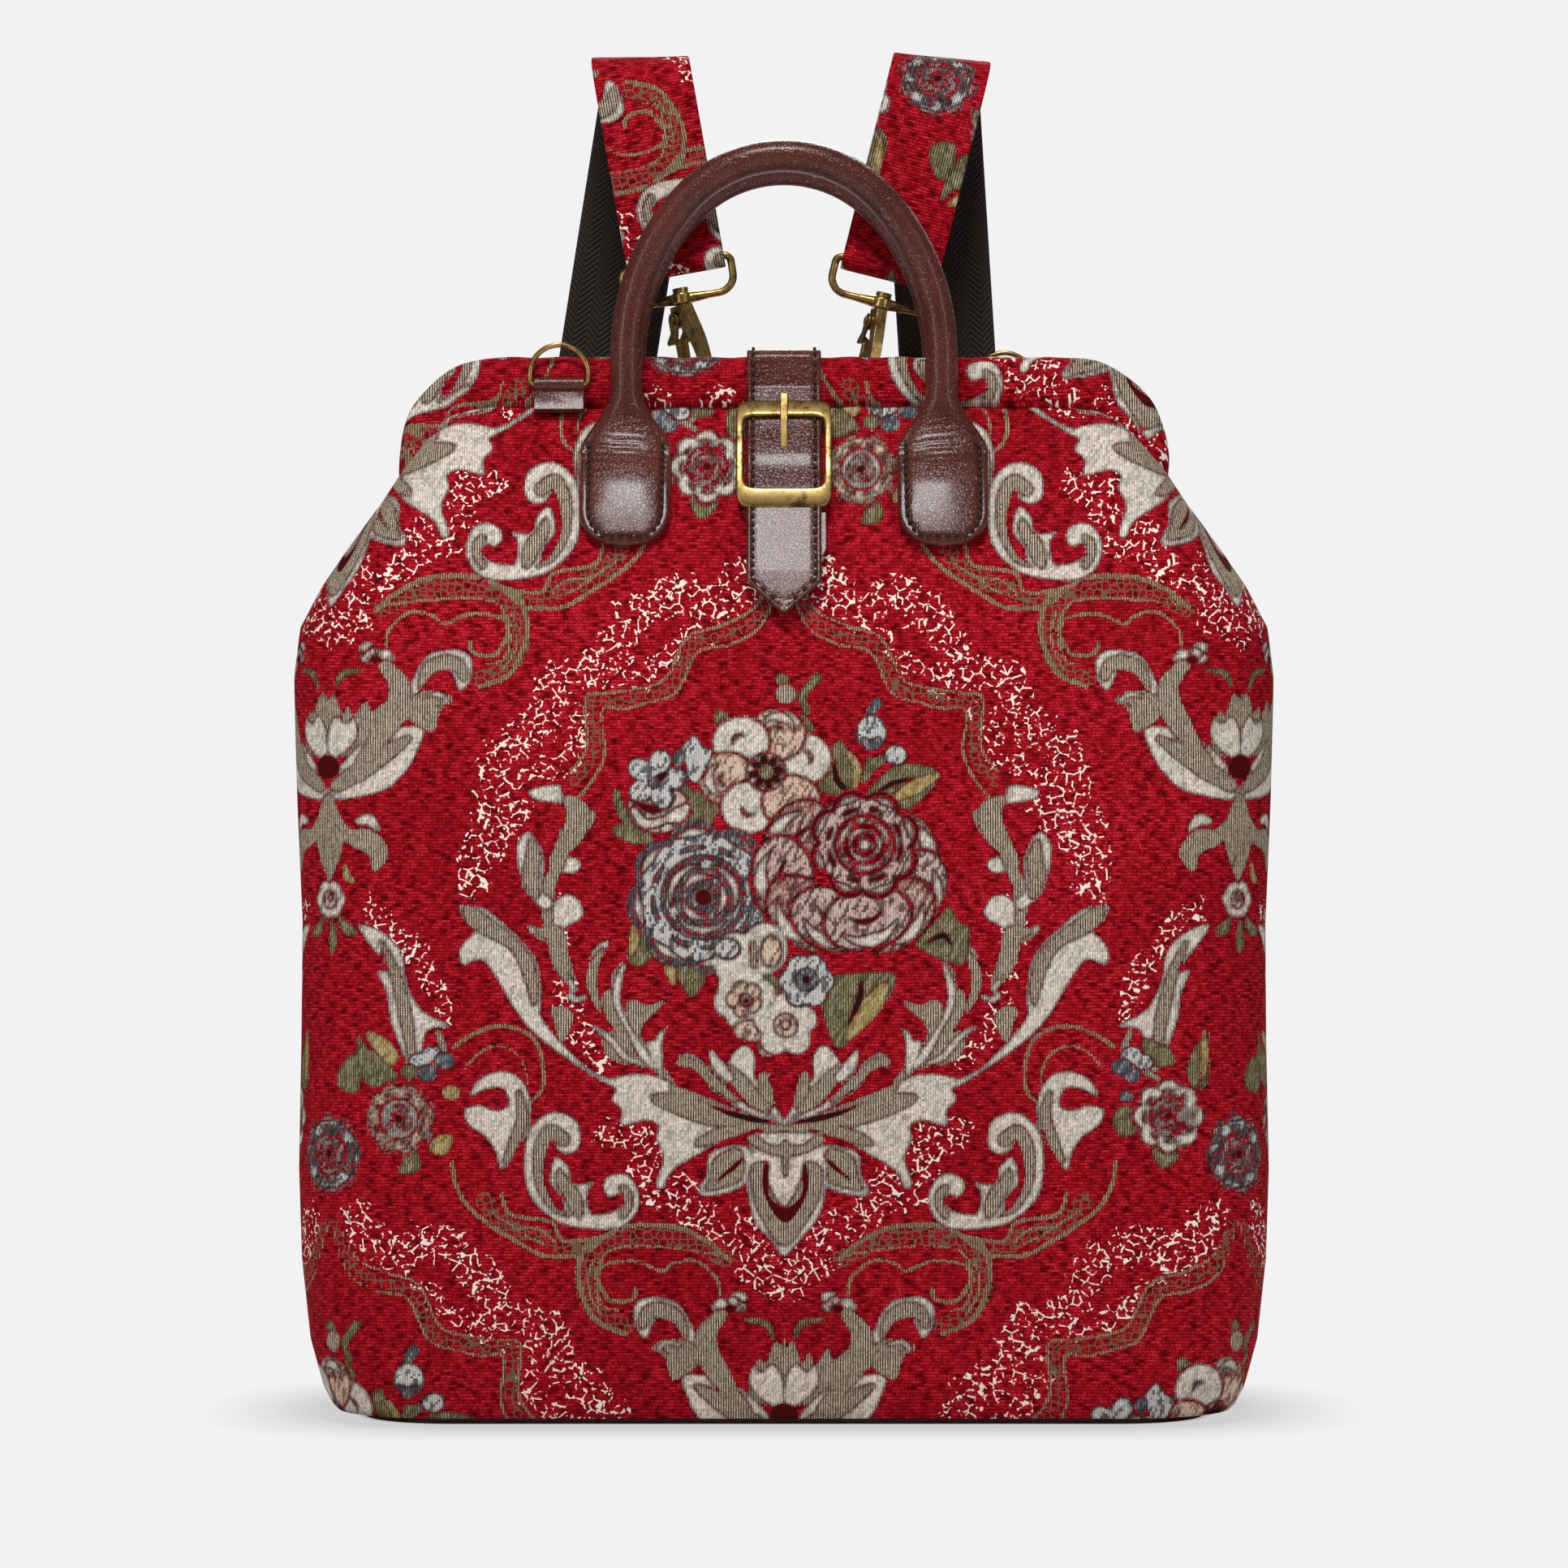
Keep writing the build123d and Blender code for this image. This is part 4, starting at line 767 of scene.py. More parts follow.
def weave_attributes(obj, loom):
    """Write every yarn's depth onto the mesh, four yarns to an attribute."""
    data = obj.data
    count = len(data.vertices)
    cloth = np.zeros(count * 3, np.float32)
    data.attributes["cloth"].data.foreach_get("vector", cloth)
    cloth = cloth.reshape(-1, 3)
    depths = loom.sample(cloth[:, 0].astype(float), cloth[:, 1].astype(float))
    for k in range(3):
        block = np.stack([depths[yarn] for yarn in YARNS[4 * k:4 * k + 4]], 1)
        attribute = data.attributes.new(f"yarns_{k + 1}", "FLOAT_COLOR", "POINT")
        attribute.data.foreach_set("color", np.clip(block, -4, 4).astype(np.float32).ravel())
    block = np.stack([depths["lace"], depths["net"], depths["net"]], 1)
    attribute = data.attributes.new("nets", "FLOAT_VECTOR", "POINT")
    attribute.data.foreach_set("vector", np.clip(block, -8, 8).astype(np.float32).ravel())


def frames_along(points, start_side):
    """Unit tangent, side and normal at every point of a line, carried along without twist."""
    pts = np.array(points, float)
    run = np.gradient(pts, axis=0)
    run = run / np.linalg.norm(run, axis=1)[:, None]
    side = np.zeros_like(run)
    now = np.array(start_side, float)
    for k in range(len(pts)):
        now = now - run[k] * now.dot(run[k])
        now = now / np.linalg.norm(now)
        side[k] = now
    return pts, run, side, np.cross(run, side)


def even_line(points, spacing, closed=False):
    """The same line with points at an even spacing."""
    pts = np.array(list(points) + ([points[0]] if closed else []), float)
    walk = np.concatenate([[0], np.cumsum(np.linalg.norm(np.diff(pts, axis=0), axis=1))])
    count = max(int(walk[-1] / spacing), 4)
    at = np.linspace(0, walk[-1], count + 1)
    return np.stack([np.interp(at, walk, pts[:, k]) for k in range(3)], 1)


def arc_points(centre, radius, start, end, across, up, steps=12):
    """Points on an arc in the plane of two axes."""
    centre, across, up = (np.array(k, float) for k in (centre, across, up))
    angles = np.radians(np.linspace(start, end, steps + 1))
    return [centre + radius * (math.cos(a) * across + math.sin(a) * up) for a in angles]


def tube(name, material, points, radius, side, sides=12, looped=False):
    """A round wire along a line."""
    pts, run, right, normal = frames_along(points, side)
    if looped:
        pts[-1], right[-1], normal[-1] = pts[0], right[0], normal[0]
    width = np.full(len(pts), float(radius)) if np.isscalar(radius) else np.array(radius, float)

    def place(u, v):
        row = np.rint(v * (len(pts) - 1)).astype(int)
        turn = u * 2 * math.pi
        offset = right[row] * np.cos(turn)[:, None] + normal[row] * np.sin(turn)[:, None]
        return pts[row] + offset * width[row][:, None], np.stack([u * 20, v * len(pts), u * 0], 1)

    return mapped_grid(name, material, sides, len(pts) - 1, place, closed=True, filled=not looped)


def softened(node, material, bevel, segments=2, reshape=None):
    """A copy of a CAD piece with its edges rounded, standing in for it."""
    source = NODES[node]
    mesh = bmesh.new()
    mesh.from_mesh(source.data)
    if reshape:
        for vert in mesh.verts:
            vert.co = reshape(vert.co)
    bmesh.ops.remove_doubles(mesh, verts=mesh.verts, dist=0.00002)
    bmesh.ops.dissolve_limit(mesh, angle_limit=math.radians(2), verts=mesh.verts, edges=mesh.edges)
    obj = finish_mesh(f"{node}_finished", mesh, material, sharp=35)
    if bevel:
        edge = obj.modifiers.new("Rounded edges", "BEVEL")
        edge.width = bevel * MM
        edge.segments = segments
        edge.limit_method = "ANGLE"
        edge.angle_limit = math.radians(35)
        edge.harden_normals = False
    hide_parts(node)
    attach(obj, NODES[node]["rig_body"])
    return obj


def stitches(name, material, places, length, width, body):
    """A row of thread stitches. places holds the spot, run and outward direction of each."""
    mesh = bmesh.new()
    for spot, run, out in places:
        run, out = Vector(run).normalized(), Vector(out).normalized()
        side = run.cross(out).normalized()
        turn = Matrix((run, side, side.cross(run) * -1)).transposed().to_4x4()
        size = Matrix.Diagonal((length / 2, width / 2, width / 2.4, 1))
        matrix = Matrix.Translation(Vector(spot) * MM) @ turn @ size @ Matrix.Scale(MM, 4)
        bmesh.ops.create_uvsphere(mesh, u_segments=8, v_segments=6, radius=1, matrix=matrix)
    obj = finish_mesh(name, mesh, material)
    if isinstance(body, str):
        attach(obj, body)
    return obj


# Shader helpers


class Tree:
    """Short calls for building a material or a node group."""

    def __init__(self, tree):
        self.tree = tree
        self.links = tree.links

    def node(self, kind, **values):
        node = self.tree.nodes.new(kind)
        for key, value in values.items():
            setattr(node, key, value)
        return node

    def put(self, socket, value):
        if isinstance(value, bpy.types.NodeSocket):
            self.links.new(value, socket)
        elif value is not None:
            socket.default_value = value

    def math(self, operation, a, b=None, c=None):
        node = self.node("ShaderNodeMath", operation=operation)
        for socket, value in zip(node.inputs, (a, b, c)):
            self.put(socket, value)
        return node.outputs[0]

    def mix(self, factor, a, b, blend="MIX"):
        node = self.node("ShaderNodeMix", data_type="RGBA", blend_type=blend)
        self.put(node.inputs["Factor"], factor)
        self.put(node.inputs["A"], a)
        self.put(node.inputs["B"], b)
        return node.outputs["Result"]

    def blend_values(self, factor, a, b):
        node = self.node("ShaderNodeMix", data_type="FLOAT")
        self.put(node.inputs["Factor"], factor)
        self.put(node.inputs["A"], a)
        self.put(node.inputs["B"], b)
        return node.outputs["Result"]

    def span(self, value, low, high, to_low=0.0, to_high=1.0):
        node = self.node("ShaderNodeMapRange", clamp=True)
        for socket, setting in zip(node.inputs, (value, low, high, to_low, to_high)):
            self.put(socket, setting)
        return node.outputs[0]

    def noise(self, vector, scale, detail=2.0, roughness=0.5):
        node = self.node("ShaderNodeTexNoise")
        self.put(node.inputs["Vector"], vector)
        self.put(node.inputs["Scale"], scale)
        self.put(node.inputs["Detail"], detail)
        self.put(node.inputs["Roughness"], roughness)
        return node.outputs["Fac"]

    def cells(self, vector, scale, feature="F1", randomness=1.0):
        node = self.node("ShaderNodeTexVoronoi", feature=feature)
        self.put(node.inputs["Vector"], vector)
        self.put(node.inputs["Scale"], scale)
        self.put(node.inputs["Randomness"], randomness)
        return node.outputs["Distance"]

    def chance(self, vector):
        node = self.node("ShaderNodeTexWhiteNoise")
        self.put(node.inputs["Vector"], vector)
        return node.outputs["Value"]

    def join(self, x, y, z=0.0):
        node = self.node("ShaderNodeCombineXYZ")
        for socket, value in zip(node.inputs, (x, y, z)):
            self.put(socket, value)
        return node.outputs[0]

    def split(self, vector):
        node = self.node("ShaderNodeSeparateXYZ")
        self.put(node.inputs[0], vector)
        return node.outputs

    def bump(self, height, distance):
        node = self.node("ShaderNodeBump")
        self.put(node.inputs["Height"], height)
        self.put(node.inputs["Distance"], distance * MM)
        node.inputs["Strength"].default_value = 1.0
        return node.outputs["Normal"]

    def place(self):
        return self.node("ShaderNodeTexCoord").outputs["Object"]

    def squash(self, vector, factors):
        node = self.node("ShaderNodeVectorMath", operation="MULTIPLY")
        self.put(node.inputs[0], vector)
        self.put(node.inputs[1], factors)
        return node.outputs[0]

    def attribute(self, name):
        return self.node("ShaderNodeAttribute", attribute_type="GEOMETRY", attribute_name=name)


def new_group(name, inputs, outputs):
    """An empty node group with the named sockets."""
    group = bpy.data.node_groups.new(name, "ShaderNodeTree")
    for label, kind, value in inputs:
        socket = group.interface.new_socket(name=label, in_out="INPUT", socket_type=kind)
        if value is not None:
            socket.default_value = value
    for label, kind in outputs:
        group.interface.new_socket(name=label, in_out="OUTPUT", socket_type=kind)
    tree = Tree(group)
    return group, tree, tree.node("NodeGroupInput").outputs, tree.node("NodeGroupOutput").inputs


def new_material(name):
    """A material with its principled shader and an output."""
    material = bpy.data.materials.new(name)
    material.use_nodes = True
    tree = Tree(material.node_tree)
    shader = material.node_tree.nodes["Principled BSDF"]
    return material, tree, shader.inputs


COLOUR, VALUE, VECTOR = "NodeSocketColor", "NodeSocketFloat", "NodeSocketVector"


def weave_group():
    """The woven surface: threads, slubs and the twelve yarns, from cloth coordinates and yarn depths."""
    inputs = [("Cloth", VECTOR, None), ("Nets", VECTOR, None)]
    for k in range(3):
        inputs += [(f"Depths {k + 1}", VECTOR, None), (f"Last depth {k + 1}", VALUE, -4.0)]
    inputs += [("Ground", COLOUR, None)] + [(yarn, COLOUR, None) for yarn in YARNS]
    outputs = [("Color", COLOUR), ("Roughness", VALUE), ("Height", VALUE)]
    group, t, given, made = new_group("Tapestry weave", inputs, outputs)
    a, b, _ = t.split(given["Cloth"])

    row = t.math("FLOOR", t.math("DIVIDE", b, SLUB_PITCH))
    in_row = t.math("FRACT", t.math("DIVIDE", b, SLUB_PITCH))
    row_chance = t.chance(t.join(row, 3.0))
    along_row = t.math("MULTIPLY_ADD", row_chance, 97.0, t.math("MULTIPLY", a, 0.2))
    slub = t.noise(t.join(along_row, row), 1.0, 2.0, 0.55)
    round_row = t.math("SINE", t.math("MULTIPLY", in_row, math.pi))
    fuzz = t.noise(t.join(a, t.math("MULTIPLY", b, 1.6)), 1.3, 3.0, 0.75)
    broad = t.noise(t.join(a, b), 0.012, 2.0)
    # Slubs, fuzz and broad patches give the pile its random tone. The row profile also darkens each row
    # towards its edges, as painted shade between the rows.
    pile_tone_and_row_shade = t.span(slub, 0.36, 0.58, 0.25, 1.15)
    pile_tone_and_row_shade = t.math("MULTIPLY", pile_tone_and_row_shade, t.span(round_row, 0.0, 0.8, 0.5, 1.1))
    pile_tone_and_row_shade = t.math("MULTIPLY", pile_tone_and_row_shade, t.span(fuzz, 0.34, 0.66, 0.25, 1.7))
    pile_tone_and_row_shade = t.math("MULTIPLY", pile_tone_and_row_shade, t.span(broad, 0.3, 0.7, 0.86, 1.1))
    colour = t.mix(1.0, given["Ground"], t.join(pile_tone_and_row_shade, pile_tone_and_row_shade, pile_tone_and_row_shade), "MULTIPLY")
    # Where the pile is brightest, its colour is mixed towards pale pink as a painted sheen highlight on the
    # chenille.
    colour = t.mix(t.span(pile_tone_and_row_shade, 1.0, 1.9, 0.0, 0.6), colour, srgb(214, 74, 86))

    wobble = t.noise(t.join(t.math("MULTIPLY", a, 0.5), t.math("MULTIPLY", b, 0.12)), 1.0, 1.0)
    warp = t.math("FRACT", t.math("ADD", t.math("DIVIDE", a, WARP_PITCH), t.math("MULTIPLY", wobble, 0.5)))
    warp_line = t.span(t.math("ABSOLUTE", t.math("SUBTRACT", warp, 0.5)), 0.22, 0.32)
    pick = t.math("FRACT", t.math("DIVIDE", b, PICK_PITCH))
    pick_line = t.span(t.math("ABSOLUTE", t.math("SUBTRACT", pick, 0.5)), 0.30, 0.47)
    cell_x = t.math("FLOOR", t.math("DIVIDE", a, WARP_PITCH))
    cell_y = t.math("FLOOR", t.math("DIVIDE", b, PICK_PITCH))
    cell_chance = t.chance(t.join(cell_x, cell_y))
    jitter = t.math("MULTIPLY", t.math("SUBTRACT", cell_chance, 0.5), 0.4)
    missing = t.math("GREATER_THAN", t.math("FRACT", t.math("MULTIPLY", cell_chance, 7.31)), 0.86)
    thread = t.math("MULTIPLY", t.span(cell_chance, 0.0, 1.0, 0.66, 1.15), t.span(fuzz, 0.3, 0.7, 0.8, 1.15))
    slant = t.math("MULTIPLY_ADD", cell_x, 0.55, t.math("MULTIPLY", cell_y, -0.3))
    hatch = t.noise(t.join(slant, t.math("MULTIPLY", t.math("ADD", cell_x, cell_y), 0.11)), 1.0, 1.0)
    inked = t.span(hatch, 0.52, 0.58)
    bare = t.span(hatch, 0.46, 0.40)

    lace_depth, net_depth, _ = t.split(given["Nets"])
    ragged = t.math("MULTIPLY", t.math("SUBTRACT", t.noise(t.join(a, b), 0.16, 2.0), 0.54), 15.0)
    broken = t.math("GREATER_THAN", t.noise(t.join(a, b, 7.0), 0.42, 1.0), 0.5)
    twigs = t.math("LESS_THAN", t.cells(t.join(a, b), 0.25, "DISTANCE_TO_EDGE"), 0.062)
    dots = t.math("LESS_THAN", t.cells(t.join(a, b, 5.0), 0.34), 0.15)
    twigs = t.math("MAXIMUM", t.math("MULTIPLY", twigs, broken), dots)
    twigs = t.math("MULTIPLY", twigs, t.math("GREATER_THAN", t.math("ADD", lace_depth, ragged), 0.0))
    mesh = t.math("LESS_THAN", t.cells(t.join(a, b, 3.0), 0.36, "DISTANCE_TO_EDGE", 0.6), 0.09)
    mesh = t.math("MULTIPLY", mesh, t.math("GREATER_THAN", net_depth, 0.0))
    covered, gap = t.math("MAXIMUM", twigs, mesh), t.math("MULTIPLY", mesh, 0.7)
    colour = t.mix(mesh, colour, given["line"])
    colour = t.mix(twigs, colour, given["cream"])
    grid = t.math("MAXIMUM", warp_line, t.math("MULTIPLY", pick_line, 0.6))
    grid = t.math("MAXIMUM", grid, t.math("MULTIPLY", missing, 0.5))
    for k in range(3):
        depths = list(t.split(given[f"Depths {k + 1}"])) + [given[f"Last depth {k + 1}"]]
        for yarn, depth in zip(YARNS[4 * k:4 * k + 4], depths):
            inner, rim, drawn, outline = YARN_WARP[yarn]
            mask = t.math("GREATER_THAN", t.math("ADD", depth, jitter), 0.0)
            shade = t.mix(1.0, given[yarn], t.join(thread, thread, thread), "MULTIPLY")
            if drawn:
                shade = t.mix(t.math("MULTIPLY", bare, drawn), shade, srgb(228, 214, 200))
                shade = t.mix(t.math("MULTIPLY", inked, drawn), shade, srgb(58, 42, 44))
            shade = t.mix(t.span(depth, 0.8, 0.3, 0.0, outline), shade, srgb(48, 32, 30))
            colour = t.mix(mask, colour, shade)
            covered = t.math("MAXIMUM", covered, mask)
            dense = t.math("MULTIPLY", mask, t.span(depth, 0.6, 1.4, rim, inner))
            gap = t.math("MAXIMUM", gap, t.math("MULTIPLY", dense, grid))
    colour = t.mix(gap, colour, srgb(22, 12, 10))
    height = t.math("MULTIPLY_ADD", round_row, 0.5, t.math("MULTIPLY", slub, 0.7))
    sunk = t.math("SUBTRACT", 0.35, t.math("MULTIPLY", gap, 0.3))
    t.put(made["Color"], colour)
    t.put(made["Roughness"], t.blend_values(covered, 0.82, 0.7))
    t.put(made["Height"], t.math("MULTIPLY_ADD", fuzz, 0.3, t.blend_values(covered, height, sunk)))
    return group


def grain_group():
    """Leather grain: pebbles, creases, pores and wear, with painted shade darkening the creases, from a
    position.
    """
    group, t, given, made = new_group(
        "Leather grain",
        [("Position", VECTOR, None), ("Leather", COLOUR, None), ("Worn", COLOUR, None)],
        [("Color", COLOUR), ("Roughness", VALUE), ("Height", VALUE)],
    )
    pebble = t.cells(given["Position"], 1100.0)
    crease = t.cells(given["Position"], 750.0, "DISTANCE_TO_EDGE")
    broad = t.noise(given["Position"], 38.0, 3.0)
    fine = t.noise(given["Position"], 1500.0, 2.0)
    worn = t.span(t.noise(given["Position"], 90.0, 4.0, 0.65), 0.56, 0.74)
    colour = t.mix(t.span(broad, 0.3, 0.7), given["Leather"], given["Worn"])
    colour = t.mix(t.math("MULTIPLY", worn, 0.45), colour, given["Worn"])
    # The creases are darkened as painted shade.
    dark = t.span(crease, 0.0, 0.08, 0.75, 1.0)
    colour = t.mix(1.0, colour, t.join(dark, dark, dark), "MULTIPLY")
    wrinkle = t.noise(t.squash(given["Position"], (0.35, 0.35, 1.6)), 420.0, 3.0, 0.6)
    domed = t.math("MULTIPLY", t.math("SUBTRACT", 1.0, pebble), 0.6)
    height = t.math("ADD", t.span(crease, 0.0, 0.09), domed)
    height = t.math("MULTIPLY_ADD", wrinkle, 2.2, height)
    t.put(made["Color"], colour)
    t.put(made["Roughness"], t.math("MULTIPLY_ADD", fine, 0.1, t.span(broad, 0.3, 0.7, 0.23, 0.33)))
    t.put(made["Height"], t.math("MULTIPLY_ADD", fine, 0.3, height))
    return group


def patina_group():
    """Antique brass: bright rubbed spots over a dark mottled patina."""
    group, t, given, made = new_group(
        "Brass patina",
        [("Position", VECTOR, None), ("Bright", COLOUR, None), ("Dark", COLOUR, None)],
        [("Color", COLOUR), ("Roughness", VALUE), ("Height", VALUE)],
    )
    mottle = t.noise(given["Position"], 180.0, 4.0, 0.65)
    specks = t.noise(given["Position"], 1400.0, 3.0, 0.6)
    rubbed = t.span(t.math("MULTIPLY_ADD", specks, 0.4, mottle), 0.52, 0.86)
    t.put(made["Color"], t.mix(rubbed, given["Dark"], given["Bright"]))
    t.put(made["Roughness"], t.span(rubbed, 0.0, 1.0, 0.46, 0.27))
    t.put(made["Height"], t.math("MULTIPLY_ADD", specks, 0.4, mottle))
    return group


def ribs_group():
    """Narrow woven webbing: chevron ribs along the strap, painted lighter on their tops and darker in their
    valleys as light and shade, from the cloth coordinates.
    """
    group, t, given, made = new_group(
        "Webbing ribs",
        [("Cloth", VECTOR, None), ("Light", COLOUR, None), ("Dark", COLOUR, None), ("Pitch", VALUE, 2.4)],
        [("Color", COLOUR), ("Height", VALUE)],
    )
    a, b, _ = t.split(given["Cloth"])
    fold = t.math("PINGPONG", a, t.math("MULTIPLY", given["Pitch"], 2.0))
    wave = t.math("SINE", t.math("DIVIDE", t.math("MULTIPLY", t.math("ADD", fold, b), 6.283), given["Pitch"]))
    cord = t.math("SINE", t.math("DIVIDE", t.math("MULTIPLY", a, 12.566), given["Pitch"]))
    fibre = t.noise(t.join(a, b), 2.0, 3.0, 0.7)
    height = t.math("MULTIPLY_ADD", cord, 0.35, wave)
    # The rib tops are painted towards the light colour and the valleys towards the dark one, as painted light
    # and shade on the ribs.
    lit = t.math("MULTIPLY", t.span(height, -1.2, 1.2), t.span(fibre, 0.3, 0.7, 0.6, 1.2))
    t.put(made["Color"], t.mix(lit, given["Dark"], given["Light"]))
    t.put(made["Height"], t.math("MULTIPLY_ADD", fibre, 0.4, height))
    return group


SLUB_PITCH = 1.2
WARP_PITCH = 0.95
PICK_PITCH = 0.9
YARN_WARP = {
    "cream": (0.35, 0.8, 0.3, 0.6), "taupe": (0.95, 0.95, 0.0, 0.35), "olive": (0.85, 0.95, 0.35, 0.4),
    "line": (0.85, 0.85, 0.0, 0.0), "blue": (0.4, 0.7, 0.8, 0.85), "slate": (0.6, 0.8, 0.5, 0.4),
    "pink": (0.45, 0.6, 0.8, 0.8), "rose": (0.5, 0.7, 0.75, 0.6), "peach": (0.3, 0.5, 0.7, 0.6),
    "gold": (0.5, 0.7, 0.35, 0.3), "dark": (0.5, 0.5, 0.0, 0.0), "wine": (0.3, 0.3, 0.0, 0.0),
}


# Materials


def grouped(name, maker, relief, inputs, **finish):
    """A material that takes its colour, roughness and relief from a shared node group."""
    material, t, shader = new_material(name)
    use = t.node("ShaderNodeGroup", node_tree=shared(maker.__name__, maker))
    for label, value in inputs.items():
        t.put(use.inputs[label], value(t) if callable(value) else value)
    t.put(shader["Base Color"], use.outputs["Color"])
    t.put(shader["Normal"], t.bump(use.outputs["Height"], relief))
    if "Roughness" in use.outputs:
        t.put(shader["Roughness"], use.outputs["Roughness"])
    for label, value in finish.items():
        shader[label.replace("_", " ")].default_value = value
    return material


def from_attribute(name, output="Vector"):
    """An input that reads a mesh attribute."""
    return lambda t: t.attribute(name).outputs[output]


def make_tapestry(name, settings):
    """The woven floral cloth."""
    inputs = {label: from_attribute(label.lower()) for label in ("Cloth", "Nets")}
    inputs["Ground"] = tuple(settings.ground)
    for k in (1, 2, 3):
        inputs[f"Depths {k}"] = from_attribute(f"yarns_{k}")
        inputs[f"Last depth {k}"] = from_attribute(f"yarns_{k}", "Alpha")
    inputs.update(YARN_COLOURS)
    return grouped(name, weave_group, settings.slub_relief / MM, inputs, Specular_IOR_Level=0.05)


def make_leather(name, settings):
    """Dark brown leather with a polished sheen."""
    colours = {"Leather": tuple(settings.leather), "Worn": tuple(settings.leather_worn)}
    inputs = {"Position": Tree.place, **colours}
    return grouped(name, grain_group, 0.2, inputs, Coat_Weight=0.22, Coat_Roughness=0.18)


def make_brass(name, settings):
    """Antique brass."""
    inputs = {"Position": Tree.place, "Bright": tuple(settings.brass), "Dark": tuple(settings.brass_dark)}
    return grouped(name, patina_group, 0.012, inputs, Metallic=0.92)


def make_webbing(name, settings):
    """Near black woven webbing."""
    inputs = {"Cloth": from_attribute("cloth"), "Light": tuple(settings.webbing), "Dark": srgb(12, 6, 5)}
    return grouped(name, ribs_group, 0.25, inputs, Roughness=0.75)


def make_lining(name, settings):
    """Plain weave lining cloth."""
    inputs = {
        "Cloth": lambda t: t.squash(t.place(), (1 / MM,) * 3),
        "Pitch": 1.2,
        # Light and Dark are the painted light on the rib tops and the painted shade in their valleys.
        "Light": srgb(92, 66, 44),
        "Dark": srgb(60, 42, 28),
    }
    return grouped(name, ribs_group, 0.08, inputs, Roughness=0.85)


def make_thread(name, colour):
    """Waxed sewing thread, twisted."""
    material, t, shader = new_material(name)
    twist = t.noise(t.place(), 2200.0, 2.0)
    t.put(shader["Base Color"], t.mix(twist, tuple(0.6 * c for c in colour[:3]) + (1.0,), colour))
    t.put(shader["Normal"], t.bump(twist, 0.1))
    shader["Roughness"].default_value = 0.55
    return material


def make_steel(name):
    """Plated steel with brushed marks."""
    material, t, shader = new_material(name)
    x, y, z = t.split(t.place())
    brushed = t.noise(t.join(t.math("MULTIPLY", x, 60.0), y, t.math("MULTIPLY", z, 900.0)), 2.0, 3.0)
    t.put(shader["Base Color"], t.mix(brushed, srgb(120, 122, 126), srgb(175, 177, 180)))
    t.put(shader["Roughness"], t.span(brushed, 0.3, 0.7, 0.3, 0.5))
    t.put(shader["Normal"], t.bump(brushed, 0.03))
    shader["Metallic"].default_value = 1.0
    return material


def make_board(name):
    """Grey fibreboard."""
    material, t, shader = new_material(name)
    fibres = t.noise(t.place(), 700.0, 4.0, 0.7)
    t.put(shader["Base Color"], t.mix(fibres, srgb(88, 74, 60), srgb(130, 114, 96)))
    t.put(shader["Normal"], t.bump(fibres, 0.15))
    shader["Roughness"].default_value = 0.9
    return material


YARN_COLOURS = {
    "cream": srgb(252, 238, 224),
    "taupe": srgb(226, 206, 178),
    "olive": srgb(166, 154, 108),
    "line": srgb(186, 160, 126),
    "blue": srgb(222, 224, 224),
    "slate": srgb(118, 126, 138),
    "pink": srgb(228, 186, 176),
    "rose": srgb(198, 134, 122),
    "peach": srgb(236, 196, 168),
    "gold": srgb(204, 180, 110),
    "dark": srgb(44, 26, 22),
    "wine": srgb(88, 8, 14),
}
MADE = {}


def shared(name, maker, *values):
    """One material, group or pattern, made the first time that it is asked for."""
    if name not in MADE:
        MADE[name] = maker(*values)
    return MADE[name]


def look(name, settings):
    """The material of that name."""
    makers = {
        "tapestry": (make_tapestry, settings),
        "leather": (make_leather, settings),
        "antique_brass": (make_brass, settings),
        "webbing": (make_webbing, settings),
        "lining_cloth": (make_lining, settings),
        "thread_pale": (make_thread, srgb(196, 150, 140)),
        "thread_dark": (make_thread, srgb(26, 13, 10)),
        "steel": (make_steel,),
        "board": (make_board,),
    }
    maker, *values = makers[name]
    return shared(f"material {name}", maker, name, *values)


# The padded body


